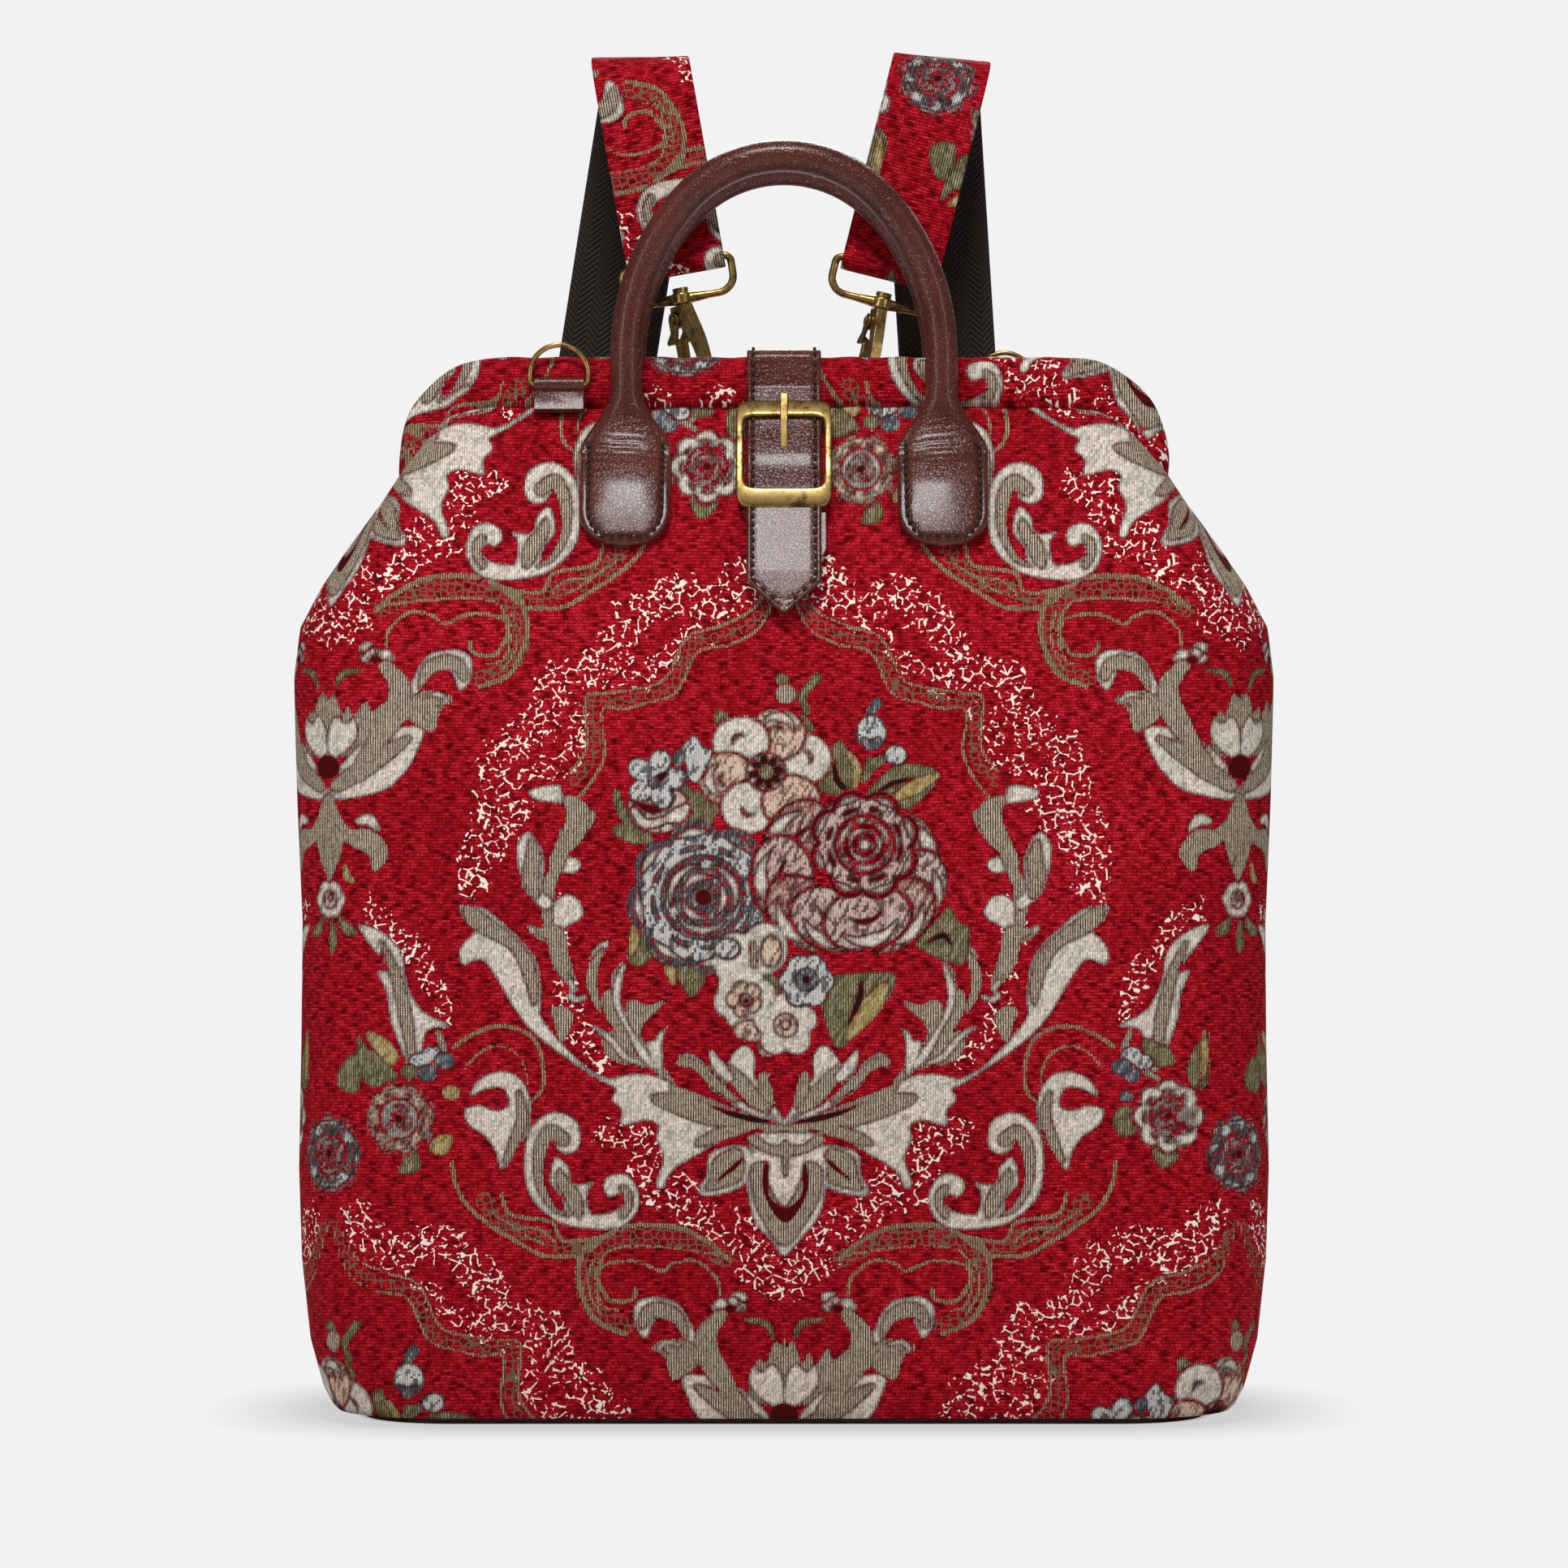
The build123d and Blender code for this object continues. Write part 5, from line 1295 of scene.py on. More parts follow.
def puffed_rows(settings):
    """How far the filled bag swells at each row and column of a coarse grid, from a cloth simulation."""
    rows, half = 56, 44
    full = half * 2
    heights = np.linspace(0, SEAM_HEIGHT, rows)
    u = np.linspace(-1, 1, half + 1)
    rest = np.zeros((rows, full, 3))
    for r, z in enumerate(heights):
        x, y, arc = body_outline(u, np.full_like(u, z))
        rest[r, : half + 1] = np.stack([x, y, np.full_like(x, z)], 1)
        rest[r, half + 1:] = np.stack([x, -y, np.full_like(x, z)], 1)[1:-1][::-1]
    mesh = bmesh.new()
    bmesh.ops.create_grid(mesh, x_segments=full, y_segments=rows - 1, size=0.5)
    spots = np.array([v.co for v in mesh.verts])
    col = np.rint((spots[:, 0] + 0.5) * full).astype(int) % full
    row = np.rint((spots[:, 1] + 0.5) * (rows - 1)).astype(int)
    for vert, c, r in zip(mesh.verts, col, row):
        vert.co = rest[r, c] * MM
    bmesh.ops.remove_doubles(mesh, verts=[v for v in mesh.verts if v.is_boundary], dist=0.000005)
    bmesh.ops.holes_fill(mesh, edges=[e for e in mesh.edges if e.is_boundary], sides=0)
    obj = finish_mesh("body_fill", mesh, look("lining_cloth", settings))
    coarse = np.array([v.co for v in obj.data.vertices]) / MM
    held = obj.vertex_groups.new(name="held")
    firm = np.clip(1 - (np.abs(coarse[:, 1]) - 24) / 30, 0, 1)
    firm = np.maximum(firm, np.clip((coarse[:, 2] - 330) / 34, 0, 1))
    firm = np.maximum(firm, np.clip((14 - coarse[:, 2]) / 10, 0, 1))
    for index, weight in enumerate(firm):
        held.add([index], float(weight), "REPLACE")
    cloth = obj.modifiers.new("Filling", "CLOTH")
    cloth.settings.quality = 6
    cloth.settings.mass = 0.35
    cloth.settings.tension_stiffness = 28
    cloth.settings.compression_stiffness = 28
    cloth.settings.shear_stiffness = 12
    cloth.settings.bending_stiffness = 4
    cloth.settings.vertex_group_mass = "held"
    cloth.settings.pin_stiffness = 1.0
    cloth.settings.use_pressure = True
    cloth.settings.uniform_pressure_force = settings.pressure
    cloth.settings.effector_weights.gravity = 0
    cloth.point_cache.frame_start = 1
    cloth.point_cache.frame_end = 20
    scene = bpy.context.scene
    for step in range(1, 21):
        scene.frame_set(step)
    ready = obj.evaluated_get(bpy.context.evaluated_depsgraph_get())
    moved = np.array([v.co for v in ready.data.vertices]) / MM - coarse
    scene.frame_set(1)
    size = np.linalg.norm(moved, axis=1)
    moved = moved * (np.minimum(size, settings.swell / MM) / np.maximum(size, 1e-6))[:, None]
    shift = np.zeros_like(rest)
    tree = KDTree(len(coarse))
    for index, spot in enumerate(coarse):
        tree.insert(spot, index)
    tree.balance()
    for r in range(rows):
        for c in range(full):
            shift[r, c] = moved[tree.find(rest[r, c])[1]]
    bpy.data.objects.remove(obj)
    return shift


def swell_at(settings, u, z, face):
    """The filled body's swelling at places on one half."""
    shift = shared("swelling", puffed_rows, settings)
    rows, full, _ = shift.shape
    half = full // 2
    part = shift[:, : half + 1]
    if face == BACK:
        part = np.concatenate([shift[:, half:], shift[:, :1]], 1)[:, ::-1]
    row, col = z / SEAM_HEIGHT * (rows - 1), (u + 1) / 2 * half
    r, c = np.clip(row.astype(int), 0, rows - 2), np.clip(col.astype(int), 0, half - 1)
    fr, fc = np.clip(row - r, 0, 1)[:, None], np.clip(col - c, 0, 1)[:, None]
    low = part[r, c] * (1 - fc) + part[r, c + 1] * fc
    high = part[r + 1, c] * (1 - fc) + part[r + 1, c + 1] * fc
    return low * (1 - fr) + high * fr


def cloth_place(x, y, z, arc):
    """Cloth coordinates that put the pattern where the front view sees it."""
    scale = VIEW_DISTANCE / (VIEW_DISTANCE - np.abs(y) * MM)
    return np.stack([arc * scale, (z - VIEW_HEIGHT / MM) * scale, arc * 0], 1)


def body_panel(name, face, settings, spacing, inset=0.0, drop=0.0):
    """One padded half of the body, seam to seam."""
    top = SEAM_HEIGHT + 3 - drop
    flat = FACE_SHARE * 0.985

    def place(u, v):
        side = np.sign(u - 0.5)
        s = np.abs(2 * u - 1)
        share = np.where(s < 0.78, s / 0.78 * flat, flat + (s - 0.78) / 0.22 * (1 - flat)) * side
        foot = 2.6 + inset * 0.6
        z = foot + v * (top - foot)
        row = np.minimum(z, SEAM_HEIGHT)
        x, y, arc = body_outline(share, row, inset)
        moved = swell_at(settings, share, row, face)
        seam = 1.8 * np.exp(-(((1 - np.abs(share)) * 190) / 3.5) ** 2)
        fold = ripple(x, y * face, z, 5 if face == FRONT else 9) * np.clip(z / 40, 0.15, 1)
        gather = np.sin(x / 3.1 + 2 * np.sin(x / 23)) * 0.45 * np.exp(-((z - SEAM_HEIGHT) / 9) ** 2)
        depth = y - fold * 0.8 + gather + seam * 0.4
        tuck = np.clip((z - SEAM_HEIGHT + 7) / 8, 0, 1) ** 2
        under = np.clip((8 - z) / 6, 0, 1) ** 2
        spot = np.stack([x - np.sign(x) * seam, (depth + tuck * 5.0 + under * 2.0) * -face, z], 1)
        return spot + moved, cloth_place(x, y, z, arc)

    across = int(440 / spacing)
    along = int(top / spacing)
    weave = None if inset else shared("loom", weave_cloth)
    cloth = "lining_cloth" if inset else "tapestry"
    return mapped_grid(name, look(cloth, settings), across, along, place, weave=weave)


def casing_line(inset=0.0):
    """The middle line of a casing, an upside down U."""
    half, top, corner = 146 - inset, BAG_HEIGHT - inset, 38 - inset
    points = [(-half, 0, 352)]
    points += arc_points((-half + corner, 0, top - corner), corner, 180, 90, (1, 0, 0), (0, 0, 1))
    points += arc_points((half - corner, 0, top - corner), corner, 90, 0, (1, 0, 0), (0, 0, 1))
    points += [(half, 0, 352)]
    return points


def casing(name, face, settings, spacing):
    """The padded band of cloth that is sewn round a frame bar."""
    line = even_line(casing_line(10), spacing)
    middle = np.array([0, face * (CASING_FRONT - CASING_DEPTH / 2), 0])
    centre, run, side, normal = frames_along(line, (0, -1, 0))
    count = len(line) - 1

    def place(u, v):
        row = np.rint(v * count).astype(int)
        turn = u * 2 * math.pi
        c, s = np.cos(turn), np.sin(turn)
        deep = np.sign(c) * np.abs(c) ** 0.55 * (CASING_DEPTH / 2 + 1.4 * (c > 0))
        wide = np.sign(s) * np.abs(s) ** 0.62 * 10.0
        end = np.minimum(v, 1 - v) * count * spacing
        slim = np.clip(end / 9, 0.35, 1) ** 0.5
        pucker = 1 + 0.022 * np.sin(v * count * spacing / 2.9) * np.clip(-s, 0, 1)
        out = side[row] * (deep * slim * pucker)[:, None] + normal[row] * (wide * pucker)[:, None]
        spot = centre[row] + middle + out
        bumpy = ripple(spot[:, 0] * 2, spot[:, 1] * 2, spot[:, 2] * 2, 21) * 0.5
        spot = spot + side[row] * (bumpy * np.sign(c))[:, None]
        scale = VIEW_DISTANCE / (VIEW_DISTANCE + spot[:, 1] * MM)
        cloth = np.stack([spot[:, 0] * scale + 38, (spot[:, 2] - VIEW_HEIGHT / MM) * scale - 62, v * 0], 1)
        cloth[:, 1] = cloth[:, 1] + (spot[:, 1] - face * CASING_FRONT) * 0.9 * -face
        return spot, cloth

    around = int(70 / spacing)
    weave = shared("loom", weave_cloth)
    cloth = look("tapestry", settings)
    return mapped_grid(name, cloth, around, count, place, closed=True, filled=True, weave=weave)


# Handles


HANDLE_RADIUS = 6.1
HANDLE_DEPTH = 23.85
TAB_HALF_WIDTH = 17.0
TAB_CORNER = 15.0
TAB_HALF_DEPTH = 2.6
TAB_FOOT = 326.5


def handle_route(face):
    """The middle line of a handle from tab end to tab end."""
    half, depth = 59.5, face * HANDLE_DEPTH
    crown, rise = 50.0, 25.0
    big = (half ** 2 + rise ** 2 - crown ** 2) / (2 * (half - crown))
    meet = math.degrees(math.atan2(rise, big - half))
    leg = []
    for z in np.linspace(TAB_FOOT, 398, 37):
        t = min(max((z - 348) / 44, 0), 1)
        ease = t * t * (3 - 2 * t)
        leg.append((-half, face * ((float(slope_depth(z)) + 3.2) * (1 - ease) + HANDLE_DEPTH * ease), z))
    arch = arc_points((big - half, depth, 400), big, 180, 180 - meet, (1, 0, 0), (0, 0, 1), 14)
    arch += arc_points((0, depth, 400 + rise), crown, 180 - meet, meet, (1, 0, 0), (0, 0, 1), 24)
    arch += arc_points((half - big, depth, 400), big, meet, 0, (1, 0, 0), (0, 0, 1), 14)
    other = [(-x, y, z) for x, y, z in leg[::-1]]
    return leg + arch[1:-1] + other


def leather_handle(name, face, settings):
    """A rolled handle that flattens into a domed, stitched tab at each end."""
    line = even_line(handle_route(face), 0.9)
    centre, run, side, normal = frames_along(line, (0, face, 0))
    count = len(line) - 1
    walk = np.concatenate([[0], np.cumsum(np.linalg.norm(np.diff(line, axis=0), axis=1))])
    end = np.minimum(walk, walk[-1] - walk)
    rounded = np.sqrt(np.maximum(TAB_CORNER ** 2 - (TAB_CORNER - end) ** 2, 0))
    rounded = rounded + (TAB_HALF_WIDTH - TAB_CORNER) * np.clip(end / 2, 0, 1)
    tab = np.where(end < TAB_CORNER, rounded, TAB_HALF_WIDTH)
    neck = np.clip((end - 38) / 34, 0, 1)
    neck = neck * neck * (3 - 2 * neck)
    waist = np.clip((end - 42) / 26, 0, 1)
    waist = waist * waist * (3 - 2 * waist)
    half_wide = tab * (1 - waist) + HANDLE_RADIUS * waist
    half_deep = TAB_HALF_DEPTH * (1 - neck) + HANDLE_RADIUS * neck
    half_deep = np.minimum(half_deep, 0.4 + end * 0.8)

    def place(u, v):
        row = np.rint(v * count).astype(int)
        turn = u * 2 * math.pi
        c, s = np.cos(turn), np.sin(turn)
        flatness = 1 - neck[row]
        wide = np.sign(s) * np.abs(s) ** (1 - 0.35 * flatness) * half_wide[row]
        edge = np.minimum((half_wide[row] - np.abs(wide)) / 3.2, end[row] / 3.2)
        groove = np.exp(-((edge - 0.9) / 0.2) ** 2) * 0.6 * flatness
        deep = c * half_deep[row] * np.abs(c) ** (-0.7 * flatness * (np.abs(c) > 0.02))
        rise = np.sin(np.clip(end[row] / 30, 0, 1) * math.pi / 2)
        pad = flatness * 1.5 * np.clip(1 - (wide / np.maximum(half_wide[row], 0.1)) ** 2, 0, 1) * rise
        deep = np.where(c > 0, deep + pad - groove, deep * 0.5)
        crease = np.sin(end[row] * 1.9 + 0.2 * wide + np.sin(wide * 0.9))
        crease = crease * np.exp(-((end[row] - 43) / 7) ** 2) * 0.22
        crease = crease - 0.5 * np.exp(-((end[row] - 41) / 5) ** 2)
        deep = deep + np.where(c > 0.3, crease, 0)
        spot = centre[row] + side[row] * deep[:, None] + normal[row] * wide[:, None]
        return spot, np.stack([u * 38, walk[row], u * 0], 1)

    obj = mapped_grid(name, look("leather", settings), 44, count, place, closed=True, filled=True)
    return obj, line, side, normal, end, tab, walk


def tab_stitches(name, settings, parts, body):
    """Thread round both tabs of a handle, just inside the rim."""
    obj, line, side, normal, end, tab, walk = parts
    spots = []
    for first in (True, False):
        outline = []
        for edge in (1, -1):
            for back in np.arange(3.0, 46.0, 0.4):
                at = back if first else walk[-1] - back
                centre = row_at(at, walk, line)
                wide = np.interp(at, walk, tab) - 3.1
                if wide < 0.5:
                    continue
                across = row_at(at, walk, normal)
                out = row_at(at, walk, side)
                outline.append((centre + across * wide * edge, out))
            if edge > 0:
                outline = outline[::-1]
        pts = np.array([p for p, _ in outline])
        outs = np.array([o for _, o in outline])
        far = np.concatenate([[0], np.cumsum(np.linalg.norm(np.diff(pts, axis=0), axis=1))])
        for at in np.arange(1.5, far[-1], settings.stitch_pitch / MM):
            here = row_at(at, far, pts)
            near = row_at(at + 0.8, far, pts)
            out = row_at(at, far, outs)
            spots.append((here + out * 3.45, near - here, out))
    return stitches(name, look("thread_dark", settings), spots, 2.5, 1.5, body)


# The closure strap


STRAP_HALF_WIDTH = 14.0
TIP_LENGTH = 13.5
SLOPE_TILT = math.atan(0.547)
BUCKLE_HEIGHT = 358.8
BUCKLE_OUTSIDE = (18.0, 23.6)
BUCKLE_INSIDE = (15.3, 16.0)


def closure_route():
    """Side view of the closure strap from the rear casing to its tip."""
    lift = 5.2
    points = [(0, 16.8, 401.7), (0, -10, 401.8), (0, -16.5, 401.4)]
    points += [(0, -18.6, 399.6), (0, -19.0, 396.5), (0, -20.5, 388)]
    for z in np.linspace(380, 300, 41):
        swell = 1.9 * math.cos(math.pi * (z - 359) / 30) ** 2 if abs(z - 359) < 15 else 0
        points.append((0, -(float(slope_depth(z)) + (lift + swell) * 0.877), z + 1.2))
    return points


def closure_strap(settings):
    """The pointed leather strap with its rolled edges."""
    line = even_line([p for p in closure_route() if p[2] > 300.6], 0.8)
    centre, run, side, normal = frames_along(line, (1, 0, 0))
    count = len(line) - 1
    walk = np.concatenate([[0], np.cumsum(np.linalg.norm(np.diff(line, axis=0), axis=1))])
    left = walk[-1] - walk
    half = np.where(left < TIP_LENGTH, 0.8 + (STRAP_HALF_WIDTH - 0.8) * left / TIP_LENGTH, STRAP_HALF_WIDTH)

    def place(u, v):
        row = np.rint(v * count).astype(int)
        turn = u * 2 * math.pi
        c, s = np.cos(turn), np.sin(turn)
        wide = np.sign(c) * np.abs(c) ** 0.3 * half[row]
        edge = half[row] - np.abs(wide)
        rim = np.exp(-((edge - 0.9) / 0.8) ** 2) * 0.35 - np.exp(-((edge - 2.3) / 0.6) ** 2) * 0.22
        deep = np.sign(s) * np.abs(s) ** 0.55 * 1.1
        deep = deep + np.where(s > 0, rim, 0)
        spot = centre[row] + side[row] * wide[:, None] + normal[row] * deep[:, None]
        return spot, np.stack([u * 60, walk[row], u * 0], 1)

    leather = look("leather", settings)
    obj = mapped_grid("closure_strap_leather", leather, 48, count, place, closed=True, filled=True)
    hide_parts("closure_strap")
    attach(obj, NODES["closure_strap"]["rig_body"])
    spots = []
    for edge in (1, -1):
        for at in np.arange(4.0, walk[-1] - 3.5, settings.stitch_pitch / MM):
            here = row_at(at, walk, line)
            wide = max(np.interp(at, walk, half) - 2.4, 0)
            along = row_at(at, walk, run)
            out = row_at(at, walk, normal)
            slant = edge * (np.interp(at + 1, walk, half) - np.interp(at, walk, half))
            spots.append((here + (wide * edge, 0, 0) + out * 1.6, along + (slant, 0, 0), out))
    body = NODES["closure_strap"]["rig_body"]
    stitches("closure_strap_stitching", look("thread_dark", settings), spots, 2.3, 1.25, body)
    return obj


def rounded_box(half_x, half_z, corner, turn):
    """A point of a rounded rectangle for each turn round it, and a matching share of the way round."""
    c, s = np.cos(turn), np.sin(turn)
    power = 2 / (2 + 10 * (1 - corner / min(half_x, half_z)))
    return half_x * np.sign(c) * np.abs(c) ** power, half_z * np.sign(s) * np.abs(s) ** power


def buckle_frame(settings):
    """The bowed brass frame: narrow side bars, and broad plates at the top and bottom."""
    spots = np.array([v.co for v in NODES["buckle_frame"].data.vertices]) / MM
    middle = (spots.min(0) + spots.max(0)) / 2
    up = np.array([0, math.sin(SLOPE_TILT), math.cos(SLOPE_TILT)])
    out = np.array([0, -math.cos(SLOPE_TILT), math.sin(SLOPE_TILT)])
    right = np.array([1.0, 0, 0])

    def place(u, v):
        turn = v * 2 * math.pi
        ring = u * 2 * math.pi
        outer_x, outer_z = rounded_box(*BUCKLE_OUTSIDE, 6.5, turn)
        inner_x, inner_z = rounded_box(*BUCKLE_INSIDE, 4.0, turn)
        share = 0.5 + 0.5 * np.sign(np.cos(ring)) * np.abs(np.cos(ring)) ** 0.5
        x = inner_x + (outer_x - inner_x) * share
        z = inner_z + (outer_z - inner_z) * share
        thick = np.sign(np.sin(ring)) * np.abs(np.sin(ring)) ** 0.35 * 1.3
        bow = 1.8 - 3.0 * (z / BUCKLE_OUTSIDE[1]) ** 2
        spot = middle + right * x[:, None] + up * z[:, None] + out * (thick + bow)[:, None]
        return spot, np.stack([x, z, u * 0], 1)

    brass = look("antique_brass", settings)
    obj = mapped_grid("buckle_frame_brass", brass, 20, 160, place, closed=True)
    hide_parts("buckle_frame")
    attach(obj, NODES["buckle_frame"]["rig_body"])
    return obj


def sunk_prong(spot):
    """The prong dips through the slot of the strap behind the top bar."""
    up, inwards = math.cos(SLOPE_TILT), math.sin(SLOPE_TILT)
    along = (spot.z / MM - BUCKLE_HEIGHT) * up + (spot.y / MM + 35) * inwards
    dip = min(max((14.5 - along) / 3, 0), 1) * 3.4 * MM
    return spot + Vector((0, up, -inwards)) * dip


# Brass hardware


D_RING_HALF_WIDTH, D_RING_CORNER, D_RING_SIDE, D_RING_WIRE = 11.0, 2.0, 4.0, 1.0
SNAP_RING_HALF_WIDTH, SNAP_RING_LOW, SNAP_RING_HIGH, SNAP_RING_WIRE = 21.3, 2.2, 16.2, 1.5


def d_ring(name, bar, rise, settings, body):
    """A round wire D with its straight bar in the tab."""
    half, corner, side = D_RING_HALF_WIDTH, D_RING_CORNER, D_RING_SIDE
    right = np.array([1.0, 0, 0])
    bar, rise = np.array(bar), np.array(rise)
    points = [bar + right * (-half + corner), bar + right * (half - corner)]
    points += arc_points(bar + right * (half - corner) + rise * corner, corner, -90, 0, right, rise, 5)
    points += arc_points(bar + rise * side, half, 0, 180, right, rise, 26)
    points += arc_points(bar - right * (half - corner) + rise * corner, corner, 180, 270, right, rise, 5)
    line = even_line(points, 0.9, closed=True)
    brass = look("antique_brass", settings)
    obj = tube(f"{name}_d_ring_wire", brass, line, D_RING_WIRE, np.cross(right, rise), 12, looped=True)
    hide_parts(f"{name}_d_ring")
    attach(obj, body)
    return obj


def swivel_ring(name, settings):
    """The oblong wire of a trigger snap, swelling to its collar, with the collar and post under it."""
    node = f"{name}_snap_ring"
    body = NODES[node]["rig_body"]
    joint = JOINTS[f"{name}_swivel"]
    base = np.array(joint["pos_m"]) / MM
    up = np.array(joint["axis"], float)
    up = up / np.linalg.norm(up)
    right = np.array([up[2], 0, -up[0]])
    half, low, high = SNAP_RING_HALF_WIDTH, SNAP_RING_LOW, SNAP_RING_HIGH
    points = []
    for cx, cz, corner, start in ((-1, 0, 6.5, 180), (1, 0, 6.5, 270), (1, 1, 2.6, 0), (-1, 1, 2.6, 90)):
        centre = base + right * cx * (half - corner) + up * (high - corner if cz else low + corner)
        points += arc_points(centre, corner, start, start + 90, right, up, 8)
    line = even_line(points, 0.8, closed=True)
    across = (line - base) @ right
    height = (line - base) @ up
    cone = np.clip(1 - np.abs(across) / 13, 0, 1) * (height < 4)
    radius = SNAP_RING_WIRE + 1.1 * cone ** 1.4
    brass = look("antique_brass", settings)
    obj = tube(f"{name}_snap_ring_wire", brass, line, radius, np.cross(right, up), 14, looped=True)
    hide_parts(node)
    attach(obj, body)
    post = [base + up * k for k in (0.0, 0.25, 0.8, 2.2, 3.6, 4.15, 4.4)]
    collar = tube(f"{name}_snap_collar", brass, post, (3.6, 3.9, 4.1, 3.7, 4.1, 3.9, 3.5), right, 24)
    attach(collar, body)
    return obj


SLIDER_HEIGHT, SLIDER_DEPTH = 190.0, 90.0


def leaning(points, foot, lean):
    """Side view points moved sideways along a lean from a foot point, each with that lean."""
    return [(Vector((foot.x + lean * (height - foot.z), depth, height)), lean) for depth, height in points]


def side_arc(centre, radius, start, end, steps):
    """Points on an arc in the side view."""
    angles = [math.radians(start + (end - start) * step / steps) for step in range(steps + 1)]
    return [(centre[0] + radius * math.cos(a), centre[1] + radius * math.sin(a)) for a in angles]


def strap_stations(name, side):
    """Middle line of a webbing strap, as in the CAD, with the run that its facing covers."""
    thick, gap, facing = 1.8, 0.3, 1.2
    low_bar = snap_bar(f"lower_{name}")
    high_bar = snap_bar(f"upper_{name}")
    axis = JOINTS[f"upper_{name}_swivel"]["axis"]
    front_lean = axis[0] / axis[2]
    knee_x = side * (70.0 if side == -1 else 64.5)
    round_bar = SNAP_RING_WIRE + gap + thick / 2
    round_slide = math.hypot(3.0, 2.0) / 2 + 0.2 + thick / 2
    inner = SLIDER_DEPTH - round_slide
    outer = SLIDER_DEPTH + round_slide + thick + gap
    half_lap = (thick + 0.1) / 2
    front = high_bar.y - half_lap
    radius = 14.5
    fold_height = 521.5 - radius - thick / 2 - facing
    bend = 1.5 + 9.5 - gap
    low_lean = (knee_x - low_bar.x) / (400 - low_bar.z)
    fold_x = high_bar.x + front_lean * (fold_height - high_bar.z)
    top_lean = (fold_x - knee_x) / (fold_height - 400)
    low_run = side_arc((SLIDER_DEPTH, SLIDER_HEIGHT), round_slide, 0, 180, 6)
    low_run += [(inner - thick - gap, SLIDER_HEIGHT - bend + 3.0)]
    low_run += side_arc((low_bar.y, low_bar.z), round_bar, 180, 360, 6)
    low_run += [
        (inner, SLIDER_HEIGHT - 14),
        (inner, SLIDER_HEIGHT - bend),
        (outer, SLIDER_HEIGHT - 2),
        (outer, SLIDER_HEIGHT + 2),
        (inner, SLIDER_HEIGHT + bend),
        (inner, SLIDER_HEIGHT + 14),
    ]
    stations = leaning(low_run, low_bar, low_lean)
    start = len(stations)
    stations += leaning([(inner - 1.0, 240.0), (80.0, 320.0)], low_bar, low_lean)
    stations += [(Vector((knee_x, front + 2 * radius + 1.0, 400)), (low_lean + top_lean) / 2)]
    fold = side_arc((front + radius, fold_height), radius, 0, 180, 8)
    for step, (depth, height) in enumerate(fold):
        lean = top_lean + (front_lean - top_lean) * step / (len(fold) - 1)
        stations += [(Vector((fold_x + front_lean * (height - fold_height), depth, height)), lean)]
    high_run = [(front, high_bar.z + 30), (front, high_bar.z + 13)]
    high_run += side_arc((high_bar.y, high_bar.z), round_bar, 180, 360, 6)
    stations += leaning(high_run, high_bar, front_lean)
    stop = len(stations)
    tail = [(high_bar.y + half_lap, high_bar.z + 13), (high_bar.y + half_lap, high_bar.z + 30)]
    stations += leaning(tail, high_bar, front_lean)
    return stations, start, stop


def snap_bar(name):
    """Middle of the bar of a trigger snap's ring."""
    joint = JOINTS[f"{name}_swivel"]
    up = Vector(joint["axis"]).normalized()
    return Vector(joint["pos_m"]) / MM + up * SNAP_RING_HIGH


def strap_ribbon(name, material, stations, lift, thick, spacing, width=38.0, weave=None, shift=(0, 0)):
    """A flat strap along stations, its edges rounded."""
    rows = []
    for index, (spot, lean) in enumerate(stations):
        before = stations[max(index - 1, 0)][0]
        after = stations[min(index + 1, len(stations) - 1)][0]
        into = (spot - before).normalized() if index else Vector((0, 0, 0))
        onward = (after - spot).normalized() if index < len(stations) - 1 else Vector((0, 0, 0))
        across = Vector((1, 0, -lean)).normalized()
        run = into + onward
        run = (run - across * run.dot(across)).normalized()
        rows.append((spot + run.cross(across) * lift, across, run.cross(across)))
    pts = np.array([r[0] for r in rows])
    walk = np.concatenate([[0], np.cumsum(np.linalg.norm(np.diff(pts, axis=0), axis=1))])
    at = np.unique(np.concatenate([walk, np.arange(0, walk[-1], spacing)]))
    at = at[np.concatenate([[True], np.diff(at) > 0.12])]

    def blend_at(values):
        table = np.array(values)
        return np.stack([np.interp(at, walk, table[:, k]) for k in range(3)], 1)

    centre, across, out = (blend_at([r[k] for r in rows]) for k in range(3))
    count = len(at) - 1
    around = max(int(2 * width / spacing / 2) * 2, 24)

    def place(u, v):
        row = np.rint(v * count).astype(int)
        turn = u * 2 * math.pi
        c, s = np.cos(turn), np.sin(turn)
        tri = 1 - np.abs((u * 2) % 2 - 1) * 2
        wide = np.clip(tri * 1.06, -1, 1) * -width / 2
        edge = np.clip((width / 2 - np.abs(wide)) / 0.8, 0, 1)
        deep = np.sign(s) * thick / 2 * (0.35 + 0.65 * np.sqrt(edge))
        deep = np.where(np.abs(s) < 1e-6, 0, deep)
        spot = centre[row] + across[row] * wide[:, None] + out[row] * deep[:, None]
        cloth = np.stack([wide + shift[0], at[row] + shift[1], u * 0], 1)
        return spot, cloth

    return mapped_grid(name, material, around, count, place, closed=True, filled=True, weave=weave)


# Operators


